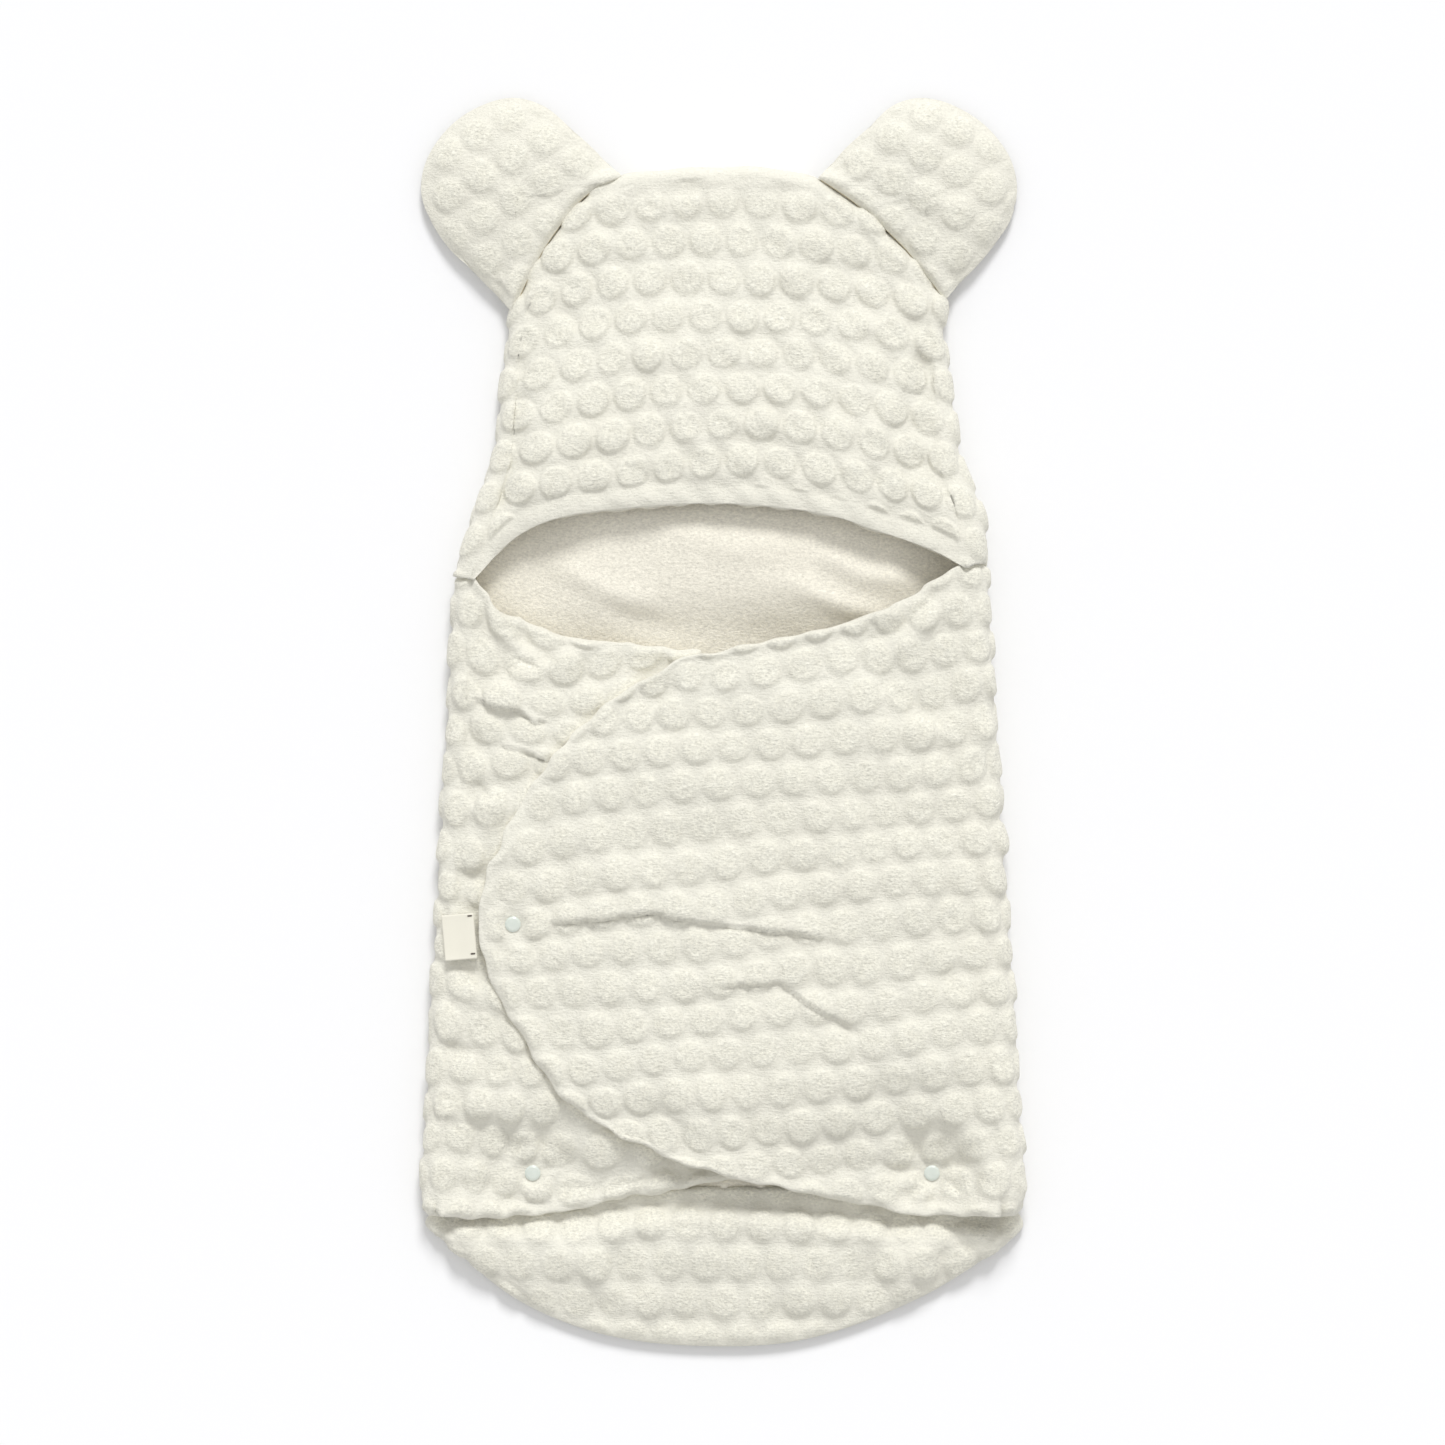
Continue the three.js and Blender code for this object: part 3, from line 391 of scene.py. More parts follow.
def raise_dots(obj, material, height):
    mod = obj.modifiers.new("dots", "NODES")
    mod.node_group = DOTS
    for item in DOTS.interface.items_tree:
        if item.in_out == "INPUT" and item.name == "Height":
            mod[item.identifier] = height
        if item.in_out == "INPUT" and item.name == "Material":
            mod[item.identifier] = material
    done = evaluated(obj)
    obj.modifiers.clear()
    obj.data = done


# ---------------- closed pads from a face and its depth
def mark(mesh, cloth, dots):
    """Writes each vertex's place on the flat cloth, in millimetres, and its share of a dot's height."""
    mesh.attributes.new("cloth", "FLOAT_VECTOR", "POINT").data.foreach_set(
        "vector", np.column_stack([cloth, np.zeros(len(cloth))]).astype(np.float32).ravel())
    mesh.attributes.new("dots", "FLOAT", "POINT").data.foreach_set("value", dots.astype(np.float32))


def upright(like, z=1.0):
    """Straight up at every point, or straight down for z = -1."""
    out = np.zeros_like(like)
    out[..., 2] = z
    return out


def grid_faces(rows, cols, offset, turned):
    i, j = np.meshgrid(np.arange(rows - 1), np.arange(cols - 1), indexing="ij")
    a = (i * cols + j).ravel() + offset
    quad = np.stack([a, a + cols, a + cols + 1, a + 1], -1)
    return quad[:, ::-1] if turned else quad


def closed_quads(rows, cols):
    """Two layers of a grid, joined all round their rims."""
    n = rows * cols
    ring = np.concatenate([np.arange(cols), np.arange(1, rows) * cols + cols - 1,
                           (rows - 1) * cols + np.arange(cols - 2, -1, -1),
                           np.arange(rows - 2, 0, -1) * cols])
    after = np.roll(ring, -1)
    return np.concatenate([grid_faces(rows, cols, 0, False), grid_faces(rows, cols, n, True),
                           np.stack([ring, after, after + n, ring + n], -1)]).tolist()


CLOTH_FRAMES = 20


def simulated(verts, faces, pinned, pressure, growth):
    """A short Cloth run without gravity. Returns how far each vertex moved, in millimetres."""
    mesh = made_mesh("cloth_run", (verts * MM).tolist(), faces)
    turn_outward(mesh)
    obj = placed("cloth_run", mesh)
    obj.vertex_groups.new(name="held").add(np.flatnonzero(pinned).tolist(), 1.0, "REPLACE")
    mod = obj.modifiers.new("cloth", "CLOTH")
    cloth = mod.settings
    cloth.quality, cloth.mass = 6, 0.3
    cloth.tension_stiffness = cloth.compression_stiffness = 12
    cloth.shear_stiffness, cloth.bending_stiffness = 4, 0.4
    cloth.vertex_group_mass = "held"
    cloth.use_pressure, cloth.uniform_pressure_force = True, pressure
    cloth.shrink_min = -growth
    cloth.effector_weights.gravity = 0
    mod.collision_settings.use_collision = False
    mod.point_cache.frame_end = CLOTH_FRAMES
    for frame_number in range(1, CLOTH_FRAMES + 1):
        bpy.context.scene.frame_set(frame_number)
    done = obj.evaluated_get(bpy.context.evaluated_depsgraph_get()).data
    co = np.empty(len(verts) * 3)
    done.vertices.foreach_get("co", co)
    moved = co.reshape(-1, 3) / MM - verts
    bpy.data.objects.remove(obj)
    bpy.context.scene.frame_set(1)
    return np.nan_to_num(moved)


def spread(values, lines_at, count):
    """Carries values from some grid lines over to all of them along the first axis, smoothly."""
    x = np.interp(np.arange(count), lines_at, np.arange(len(lines_at)))
    k = np.clip(x.astype(int), 0, len(lines_at) - 2)
    f = (x - k).reshape((-1,) + (1,) * (values.ndim - 1))
    a, b = values[np.clip(k - 1, 0, None)], values[k]
    c, d = values[k + 1], values[np.clip(k + 2, None, len(lines_at) - 1)]
    return b + 0.5 * f * (c - a + f * (2 * a - 5 * b + 4 * c - d + f * (3 * (b - c) + d - a)))


def capped(moved, cap):
    size = np.linalg.norm(moved, axis=-1, keepdims=True)
    return moved * cap * np.tanh(size / cap) / np.maximum(size, 1e-9)


EVEN_TAKEN_BACK = 0.75  # share of the even swelling that is undone, so that mostly the puckers stay


def puckered(face, out, thick, held, cap, step=5, pressure=2.5, growth=0.045):
    """The face after its cloth has been let out a little over its filling, so that it puckers. It runs on
    every step-th grid line; held is 1 where the face stays as drawn, and cap the furthest that it moves."""
    r, c = (np.unique(np.r_[0:n:step, n - 1]) for n in face.shape[:2])
    some = np.ix_(r, c)
    top = face[some]
    low = top - out[some] * thick[some][..., None]
    verts = np.concatenate([top.reshape(-1, 3), low.reshape(-1, 3)])
    count = len(verts) // 2
    pinned = np.concatenate([held[some].ravel() > 0.85, np.ones(count, bool)])
    moved = simulated(verts, closed_quads(*top.shape[:2]), pinned, pressure, growth)[:count]
    moved = moved.reshape(top.shape)
    lift = np.sum(moved * out[some], -1)
    moved = moved - out[some] * (EVEN_TAKEN_BACK * lift[held[some] < 0.5].mean())
    moved = capped(moved, cap)
    moved = spread(spread(moved, r, face.shape[0]).swapaxes(0, 1), c, face.shape[1]).swapaxes(0, 1)
    face = face + moved * (1 - held)[..., None]
    face[..., 2] = np.maximum(face[..., 2], 0)
    return face


def pad(name, face, out, low, high, cloth, dots, material, body, stands_for, dot_height=DOT_HEIGHT):
    """A closed pad between face - out*low and face - out*high, in millimetres."""
    rows, cols = face.shape[:2]
    upper = face - out * low[..., None]
    lower = face - out * high[..., None]
    verts = np.concatenate([upper.reshape(-1, 3), lower.reshape(-1, 3)]) * MM
    n = rows * cols
    mesh = made_mesh(name, verts.tolist(), closed_quads(rows, cols))
    mesh.validate()
    both = np.concatenate([cloth.reshape(-1, 2)] * 2)
    flat = np.concatenate([dots.ravel(), np.zeros(n)])
    mark(mesh, both, flat)
    obj = placed(name, mesh)
    turn_outward(mesh)
    raise_dots(obj, material, dot_height)
    finish_piece(obj, material, body, stands_for)
    return obj


def turn_outward(mesh):
    co = np.empty(len(mesh.vertices) * 3)
    mesh.vertices.foreach_get("co", co)
    co = co.reshape(-1, 3)
    mesh.calc_loop_triangles()
    tri = np.empty(len(mesh.loop_triangles) * 3, int)
    mesh.loop_triangles.foreach_get("vertices", tri)
    p = co[tri.reshape(-1, 3)]
    if np.einsum("ij,ij->i", p[:, 0], np.cross(p[:, 1], p[:, 2])).sum() < 0:
        mesh.flip_normals()


def finish_piece(obj, material, body, stands_for):
    mesh = obj.data
    mesh.materials.clear()
    mesh.materials.append(material)
    for p in mesh.polygons:
        p.use_smooth = True
    if body:
        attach(obj, body)
    if stands_for:
        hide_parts(*stands_for)


def panel(name, face, out, thick, cloth, dots, body, plies):
    """The plush pad and the lining of one panel. thick is its whole thickness at each point, and cloth each
    point's place on the flat cloth, where the dots are laid out."""
    inset = (PANEL - thick) / 2
    share = PLUSH / PANEL
    gap = LINING_GAP * thick / PANEL
    shell = pad(name + "_plush", face, out, inset, inset + thick * share, cloth, dots, PLUSH_MAT, body,
                [plies + "_shell", plies + "_wadding"])
    some = np.ix_(*(np.r_[0:n - 1:2, n - 1] for n in face.shape[:2]))
    inner = pad(name + "_lining_cloth", face[some], out[some], (inset + thick * share + gap)[some],
                (inset + thick)[some], cloth[some], dots[some] * 0, LINING_MAT, body, [plies + "_lining"])
    return shell, inner


def edge_thickness(d, band=9.0, least=0.36):
    t = np.clip(d / band, 0, 1)
    return PANEL * (least + (1 - least) * np.sqrt(1 - (1 - t) ** 2))


def turn(xy, degrees, origin=(0, 0)):
    a = math.radians(degrees)
    x, y = xy[..., 0] - origin[0], xy[..., 1] - origin[1]
    return np.stack([x * math.cos(a) + y * math.sin(a), -x * math.sin(a) + y * math.cos(a)], -1)


# ---------------- wings
TIP, FOOT_LEFT, FOOT_RIGHT = SHIFT + DRAWN_TIP, SHIFT + (-130, -307), SHIFT + (142, -307)
HALF_PAIR = (SNAP_REACH + SNAP_FABRIC) / 2
TIP_LEVEL, FOOT_LEVEL = 26.9, 8.0
# the furthest that a cloth run moves each piece
OUTER_PUCKER, INNER_PUCKER, HOOD_PUCKER, TAIL_PUCKER, EAR_PUCKER = 2.0, 3.2, 1.7, 1.6, 2.2
RIM_HELD = 0.75          # share of the cloth run's movement that a free edge doesn't take
WING_SPACING = 1.75      # between grid lines
ROLL_PUFF = 0.055        # how far the rolled side swells and dips, as a share of its radius
ROLL_PUFF_LENGTH = 34
ROLL_PUFF_MOST = 1.12
DROOP_FROM, DROOP_OVER, DROOP_ROOT = 112, 104, 45  # mm from the hem where the leaf sinks, and from its root
GATHER_RADIUS, GATHER_WIDTH = 21, 10               # the ring of gathers round a snap


def under_held(phi, rolled):
    """A rolled edge stays as drawn below its middle height."""
    return np.broadcast_to(1 - smooth(phi / 1.5)[:, None], rolled.shape[:2])


def snap_pull(xy, middle, thick, snaps):
    height = middle
    for spot, level, dip in snaps:
        r = np.linalg.norm(xy - spot, axis=-1)
        fade = smooth((r - 9) / (dip - 9))
        height = height + (level - height) * (1 - fade)
        thick = np.minimum(thick, SNAP_FABRIC + (PANEL - SNAP_FABRIC) * smooth((r - 6.2) / 9))
    return height, thick


def wing(name, joint, sign, roll, top, neck, edge, hem, snaps, listed, cloth_of, droop, gather, pucker):
    """A side fold rolled about the hinge line, then the flat leaf."""
    spacing = WING_SPACING
    j = JOINTS[joint]
    axis_neck = np.array(j["pos_m"][:2]) / MM
    way = np.array(j["axis"][:2])
    way = way if way[1] < 0 else -way
    axis_foot = axis_neck + way * ((TAIL_HINGE + SHIFT[1] - axis_neck[1]) / way[1])
    outward = np.array([-way[1], way[0]])
    outward *= np.sign(outward[0]) * sign
    side = spline([axis_neck, (axis_neck + axis_foot) / 2, axis_foot])
    neck_line = spline(np.vstack([axis_neck, pts(neck)]))
    hem_line = spline(np.vstack([axis_foot, pts(hem)]))
    edge_line = spline(pts(edge))
    u = lines(neck_line.length, spacing, False, True)
    v = lines(side.length, spacing)
    plan = coons(neck_line, hem_line, side, edge_line, u, v)
    steps = int(math.pi * roll / (spacing * 1.15))
    phi = np.linspace(-math.pi / 2, math.pi / 2, steps, endpoint=False)
    line = side(v)
    mm_v, mm_u = side.length, 0.5 * (neck_line.length + hem_line.length)
    ends = np.minimum(v, 1 - v) * mm_v
    # rolled part: radial directions
    radial = np.concatenate([np.cos(phi)[:, None] * outward[None], np.sin(phi)[:, None]], 1)
    puff = 1 + ROLL_PUFF * unevenness(
        np.stack(np.meshgrid(phi * roll, v * mm_v, indexing="ij"), -1), 5, ROLL_PUFF_LENGTH, 1.0)
    puff = puff * (1 - 0.3 * (1 - smooth((1 - v) * mm_v / 15)))[None]
    centre = np.concatenate([line, np.full((len(v), 1), roll)], 1)
    rolled = centre[None] + radial[:, None] * (roll * np.minimum(puff, ROLL_PUFF_MOST))[..., None]
    rolled_out = np.broadcast_to(radial[:, None], rolled.shape)
    rolled_thick = np.broadcast_to(edge_thickness(ends, 5, 0.7), rolled.shape[:2])
    arc = (phi - math.pi / 2) * roll
    # flat leaf
    free = np.minimum(ends[None], (1 - u)[:, None] * mm_u)
    from_root = (np.arange(len(u)) * spacing)[:, None]
    plump = edge_thickness(free, 5, 0.7)
    thick = plump + (edge_thickness(free) - plump) * smooth(from_root / 30)
    to_hem = ((1 - v) * mm_v)[None]
    sunk = smooth((DROOP_FROM - to_hem) / DROOP_OVER) * smooth(from_root / DROOP_ROOT)
    level = top - PANEL / 2 - droop(plan) * sunk
    middle, thick = snap_pull(plan, level, thick, snaps)
    soft = (folds(plan, listed) + unevenness(plan, 11 + int(top), 62, 1.0)
            + unevenness(plan, 3 + int(top), 27, 0.35))
    gathers = sum(
        amount * np.exp(-((np.linalg.norm(plan - spot, axis=-1) - GATHER_RADIUS) / GATHER_WIDTH) ** 2)
        * np.cos(ways * np.arctan2(plan[..., 1] - spot[1], plan[..., 0] - spot[0]) + 0.7)
        for (spot, _, _), amount, ways in zip(snaps, (0.7, gather), (5, 7)))
    calm = smooth(np.min([np.linalg.norm(plan - s[0], axis=-1) for s in snaps], 0) / 26 - 0.4)
    soft = soft * calm * (0.25 + 0.75 * smooth(from_root / 25)) + gathers
    plan = plan + (wavering(plan, free, int(top)) - plan) * smooth(from_root / 20)[..., None]
    flat = np.concatenate([plan, (middle + PANEL / 2 + soft)[..., None]], -1)
    face = np.concatenate([rolled, flat])
    out = np.concatenate([rolled_out, upright(flat)])
    thickness = np.concatenate([rolled_thick, thick])
    unrolled = line[None] - outward[None, None] * arc[:, None, None]
    cloth = cloth_of(np.concatenate([unrolled, plan]))
    pressed = smooth((rolled[..., 2] - 1.5) / 7)
    keep = np.concatenate([smooth((ends - 0.8) / 4.5)[None] * pressed,
                           smooth((free - 0.8) / 4.5) * calm_dots(plan, snaps)])
    at_snap = np.max([1 - smooth((np.linalg.norm(plan - q[0], axis=-1) - 10) / 14) for q in snaps], 0)
    at_rim = RIM_HELD * (1 - smooth(free / 16))
    held = np.concatenate([under_held(phi, rolled), np.maximum(at_snap, at_rim)])
    face = puckered(face, out, thickness, held, pucker)
    shell, inner = panel(name, face, out, thickness, cloth, keep, None, name)
    # each piece's placement is baked into its mesh
    for piece in (shell, inner):
        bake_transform(piece)
    return side


def calm_dots(plan, snaps):
    r = np.min([np.linalg.norm(plan - s[0], axis=-1) for s in snaps], 0)
    return smooth((r - 6) / 5)


OUTER_FOLDS = [
    ([(-135, -137), (-84, -133), (-50, -128), (-15, -136), (53, -143), (84, -151)], 3.0, 13, "ledge"),
    ([(-10, -179), (37, -176), (55, -189), (80, -203), (98, -214)], 2.4, 10, "ledge"),
    ([(142, -307), (172, -311), (204, -316)], -3.2, 5),
    ([(146, -300), (176, -286), (205, -272)], -2.6, 5),
    ([(146, -300), (170, -298), (205, -295)], 2.6, 7),
    ([(134, -307), (100, -300), (60, -305)], -2.2, 6),
    ([(160, 100), (146, 72), (112, 44)], 4.2, 7),
    ([(150, 96), (128, 70), (96, 52)], -2.6, 5),
    ([(168, 96), (156, 50), (150, 16)], -2.2, 6),
    ([(186, -20), (156, -12), (120, -4)], 2.2, 7),
    ([(190, -62), (160, -58), (132, -62)], -2.0, 6),
    ([(194, -112), (160, -120), (128, -118)], 2.0, 8),
    ([(198, -170), (170, -176), (140, -170)], -1.9, 7),
    ([(202, -226), (172, -222), (130, -230)], 1.9, 8),
    ([(-120, -60), (-80, -50), (-30, -62)], 1.2, 11),
    ([(-60, -250), (0, -262), (70, -268)], 1.3, 12),
]
INNER_FOLDS = [
    ([(-171, 16), (-153, 9), (-138, 7), (-128, -1), (-117, 1)], 3.5, 8, "ledge"),
    ([(-153, -16), (-140, -19), (-116, -26)], 3.0, 7, "ledge"),
    ([(-160, 94), (-157, 76), (-146, 58), (-120, 38)], 5.2, 6),
    ([(-150, 80), (-146, 66), (-130, 48)], -3.0, 5),
    ([(-172, 90), (-166, 60), (-160, 40)], -2.7, 6),
    ([(-190, -62), (-165, -56), (-140, -60)], 3.2, 8),
    ([(-194, -110), (-176, -104), (-160, -106)], -3.0, 7),
    ([(-198, -178), (-172, -184), (-150, -200)], 3.2, 8),
    ([(-200, -222), (-170, -226), (-140, -244)], -2.7, 8),
    ([(-204, -264), (-170, -262), (-120, -276)], 2.7, 9),
    ([(-130, -307), (-165, -316), (-204, -312)], -3.2, 6),
    ([(-130, -307), (-100, -316), (-60, -312)], -2.2, 7),
]


def sway(xy, seed, amount=3.0):
    return np.stack([unevenness(xy, seed, 150, amount), unevenness(xy, seed + 1, 130, amount)], -1)


def outer_cloth(xy):
    return turn(xy - SHIFT, 5.4, (-1.7, -44.4)) * (1.016, 0.99) + sway(xy, 21, 2.0)


def inner_cloth(xy):
    return turn(xy - SHIFT, -2.0, (-170, 20)) + sway(xy, 31, 6.5)


def outer_droop(xy):
    return 13.0 * smooth((xy[..., 0] - SHIFT[0] - 8) / 70)


def inner_droop(xy):
    return np.full(xy.shape[:-1], 6.5)


outer_side = wing(
    "outer_wing", "outer_wing_fold", 1, OUTER_ROLL, OUTER_TOP,
    [(149, 101), (124, 84), (82, 68), (40, 58), (-1, 49), (-27, 43)],
    [(-27, 43), (-73, 18), (-116, -24), (-148, -74), (-166, -122), (-161, -166), (-143, -205),
     (-113, -250), (-70, -283)],
    [(162, -336), (133, -335), (96, -328), (44, -318), (-12, -305), (-70, -283)],
    [(TIP, TIP_LEVEL + HALF_PAIR, 30), (FOOT_RIGHT, FOOT_LEVEL + HALF_PAIR, 41)],
    OUTER_FOLDS, outer_cloth, outer_droop, 1.5, OUTER_PUCKER)
inner_side = wing(
    "inner_wing", "inner_wing_fold", -1, INNER_ROLL, INNER_TOP,
    [(-158, 82), (-142, 72), (-99, 58), (-42, 52), (-15, 49)],
    [(-15, 49), (-4, -40), (3, -130), (8, -230), (12, -311)],
    [(-180, -338), (-149, -338), (-91, -330), (-41, -319), (12, -311)],
    [(TIP, TIP_LEVEL - HALF_PAIR, 30), (FOOT_LEFT, FOOT_LEVEL + HALF_PAIR, 40)],
    INNER_FOLDS, inner_cloth, inner_droop, 0.9, INNER_PUCKER)

# ---------------- hood
HOOD_OUTLINE = spline(pts(
    [(-182.4, 100.4), (-171, 138), (-156, 184), (-151, 225), (-144, 279), (-128, 312), (-112, 337),
     (-92, 360), (-69, 372), (-25, 378), (25, 378), (64, 371), (89, 354), (124, 322), (139, 303), (151, 288),
     (150, 265), (156, 219), (163, 176), (176, 142), (179.4, 108)]))


def hood_roll(t):
    lip = np.where(t < 0.5, INNER_ROLL, OUTER_ROLL)
    return lip + (CROWN_ROLL - lip) * smooth(np.minimum(t, 1 - t) / 0.22)


def hood_inward(t):
    d = HOOD_OUTLINE(np.minimum(t + 0.004, 1)) - HOOD_OUTLINE(np.maximum(t - 0.004, 0))
    n = np.stack([d[..., 1], -d[..., 0]], -1)
    return n / np.linalg.norm(n, axis=-1, keepdims=True)


def hood_inset(t, inset):
    return HOOD_OUTLINE(t) + hood_inward(t) * np.asarray(inset)[..., None]


LIP = spline(np.vstack([
    hood_inset(np.array(0.0), hood_roll(np.array(0.0))),
    pts([(-142, 125), (-114, 138), (-56, 146), (2, 148), (68, 141), (110, 128), (142, 117)]),
    hood_inset(np.array(1.0), hood_roll(np.array(1.0)))]))


def hood():
    t = np.linspace(0, 1, 520)
    from_end = np.minimum(t, 1 - t)
    roll = hood_roll(t)
    inward = hood_inward(t)
    phi = np.linspace(-math.pi / 2, math.pi / 2, 24, endpoint=False)
    centre = np.concatenate([hood_inset(t, roll), roll[:, None]], 1)
    radial = np.stack([-inward[None, :, 0] * np.cos(phi)[:, None], -inward[None, :, 1] * np.cos(phi)[:, None],
                       np.broadcast_to(np.sin(phi)[:, None], (len(phi), len(t)))], -1)
    arc = t * HOOD_OUTLINE.length
    puff = unevenness(np.stack(np.meshgrid(phi * 12, arc, indexing="ij"), -1), 8, 38, 0.6)
    rolled = centre[None] + radial * (roll[None] + puff)[..., None]
    start = hood_inset(t, roll)
    lip = LIP(t)
    reach = np.linalg.norm(lip - start, axis=1)
    share = np.concatenate([np.linspace(0, 0.9, 120, endpoint=False), np.linspace(0.9, 1, 22)])
    plan = start[None] + (lip - start)[None] * share[:, None, None]
    low = 2 * roll[None]
    height = low + (HOOD_TOP - low) * smooth(share[:, None] * 1.25) * smooth(4 * from_end)[None]
    from_lip = (1 - share)[:, None] * reach[None] + 2.0
    wander = unevenness(plan, 44, 46, 0.8)
    hem = np.exp(-((from_lip - 7.5) / 6.0) ** 2) * 0.5 - np.exp(-((from_lip - 16 - wander) / 3.4) ** 2) * 0.6
    hem = hem + unevenness(plan, 45, 21, 0.75)
    hem = hem * smooth(from_end * 12)[None]
    listed = [
        ([(-176, 110), (-140, 150), (-118, 176)], 2.4, 8),
        ([(-170, 118), (-150, 180), (-144, 220)], -1.8, 7),
        ([(174, 118), (146, 150), (122, 168)], 2.6, 8),
        ([(172, 124), (152, 176), (140, 214)], -2.0, 7),
        ([(-60, 160), (0, 166), (64, 158)], 0.9, 14),
    ]
    soft = folds(plan, listed) + unevenness(plan, 41, 70, 0.9) + unevenness(plan, 42, 28, 0.25)
    soft = soft * smooth(share[:, None] * 6) * smooth(reach[None] / 40)
    flat = np.concatenate([plan, (height + soft + hem)[..., None]], -1)
    # outward directions from the surface itself
    face = np.concatenate([rolled, flat])
    du = np.gradient(face, axis=0)
    dv = np.gradient(face, axis=1)
    out = np.cross(dv, du)
    size = np.linalg.norm(out, axis=-1, keepdims=True)
    up = upright(out)
    out = np.where(size > 1e-4, out / np.maximum(size, 1e-9), up)
    out[len(phi):] = out[len(phi):] * 0.35 + up[len(phi):] * 0.65
    out[:len(phi)] = radial
    out /= np.linalg.norm(out, axis=-1, keepdims=True)
    corner = 7 * (1 - smooth(from_end * 14))[None]
    thickness = np.concatenate([np.full(rolled.shape[:2], PANEL), edge_thickness(from_lip + corner, 8)])
    thickness = np.minimum(thickness, PANEL)
    unrolled = inward[None] * (math.pi / 2 - phi)[:, None, None] * roll[None, :, None]
    outlying = hood_inset(t, roll)[None] - unrolled
    xy = np.concatenate([outlying, plan])
    bow = np.stack([np.zeros(xy.shape[:2]), 0.0009 * xy[..., 0] ** 2], -1)
    cloth = (xy - SHIFT - (-12.3, 277)) * (0.99, 1.0) + bow + sway(xy, 51, 1.4)
    crown = smooth((359 - xy[..., 1]) / 11 + 0.5)
    crown = np.where(np.abs(xy[..., 0]) < 75, crown, 1)
    inside = np.concatenate([smooth((rolled[..., 2] - 1.5) / 6), smooth((from_lip - 14) / 5)])
    held = np.concatenate([under_held(phi, rolled), np.zeros(plan.shape[:2])])
    held = np.maximum(held, 1 - smooth(from_end * 30)[None])
    face = puckered(face, out, thickness, held, HOOD_PUCKER)
    panel("hood", face, out, thickness, cloth, crown * inside, "back", "hood")


hood()
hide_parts("hood_hem")


# ---------------- back, with its underside in dimpled plush
def back():
    def edge(hood_at, side):
        end = np.interp(BACK_END + SHIFT[1], [side(1)[1], side(0)[1]], [1, 0])
        return spline(np.vstack([hood_inset(np.array(x), hood_roll(np.array(x))) for x in hood_at]
                                + [side(x) for x in (0.03, 0.3, 0.6, 0.9, end)]))

    left = edge((0.23, 0.15, 0.08, 0.02), inner_side)
    right = edge((0.77, 0.85, 0.92, 0.98), outer_side)
    crown_t = np.linspace(0.23, 0.77, 30)
    crown = spline(hood_inset(crown_t, hood_roll(crown_t)))
    foot = spline(np.vstack([left(1.0), (left(1.0) + right(1.0)) / 2, right(1.0)]))
    u = lines(340, 3.0, False, False)
    v = lines(690, 3.0, False, False)
    plan = coons(crown, foot, left, right, u, v)
    thick = np.full(plan.shape[:2], PANEL)
    level = 3.9
    middle, thick = snap_pull(plan, np.full(plan.shape[:2], PANEL / 2), thick,
                              [(FOOT_LEFT, level, 16), (FOOT_RIGHT, level, 16)])
    lining_folds = [
        ([(60, 118), (96, 100), (128, 96)], 3.0, 8),
        ([(40, 96), (84, 78), (120, 70)], 2.4, 7),
        ([(-40, 130), (10, 118), (60, 122)], 2.0, 12),
        ([(-120, 112), (-80, 86), (-40, 76)], 2.2, 9),
        ([(-110, 96), (-66, 74), (-30, 64)], -1.6, 7),
    ]
    px, py = plan[..., 0] - SHIFT[0], plan[..., 1] - SHIFT[1]
    bulge = 14.5 * np.exp(-(px / 120) ** 4 - ((py - 119) / 50) ** 4)
    soft = 1.5 * folds(plan, lining_folds) + unevenness(plan, 61, 60, 0.7) + bulge
    flat = np.concatenate([plan, (middle - PANEL / 2)[..., None]], -1)
    out = upright(flat, -1.0)
    cloth = plan + sway(plan, 71, 2.0)
    inset = (PANEL - thick) / 2
    # dots on the underside are pressed flat by the floor, so they stand only a little
    keep = calm_dots(plan, [(FOOT_LEFT, 0, 0), (FOOT_RIGHT, 0, 0)])
    shell = pad("back_plush", flat, out, inset + 1.0, inset + PLUSH, cloth, keep, PLUSH_MAT, "back",
                ["back_shell", "back_wadding"], 0.9)
    inner = pad("back_lining_cloth", flat, out, inset + PLUSH + 0.2, inset + thick + soft + 0.2, cloth,
                keep * 0, LINING_MAT, "back", ["back_lining"])
    return left(1.0), right(1.0)


foot_left, foot_right = back()


# ---------------- tail, bending up from the foot of the back
TAIL_RISE = 10.5


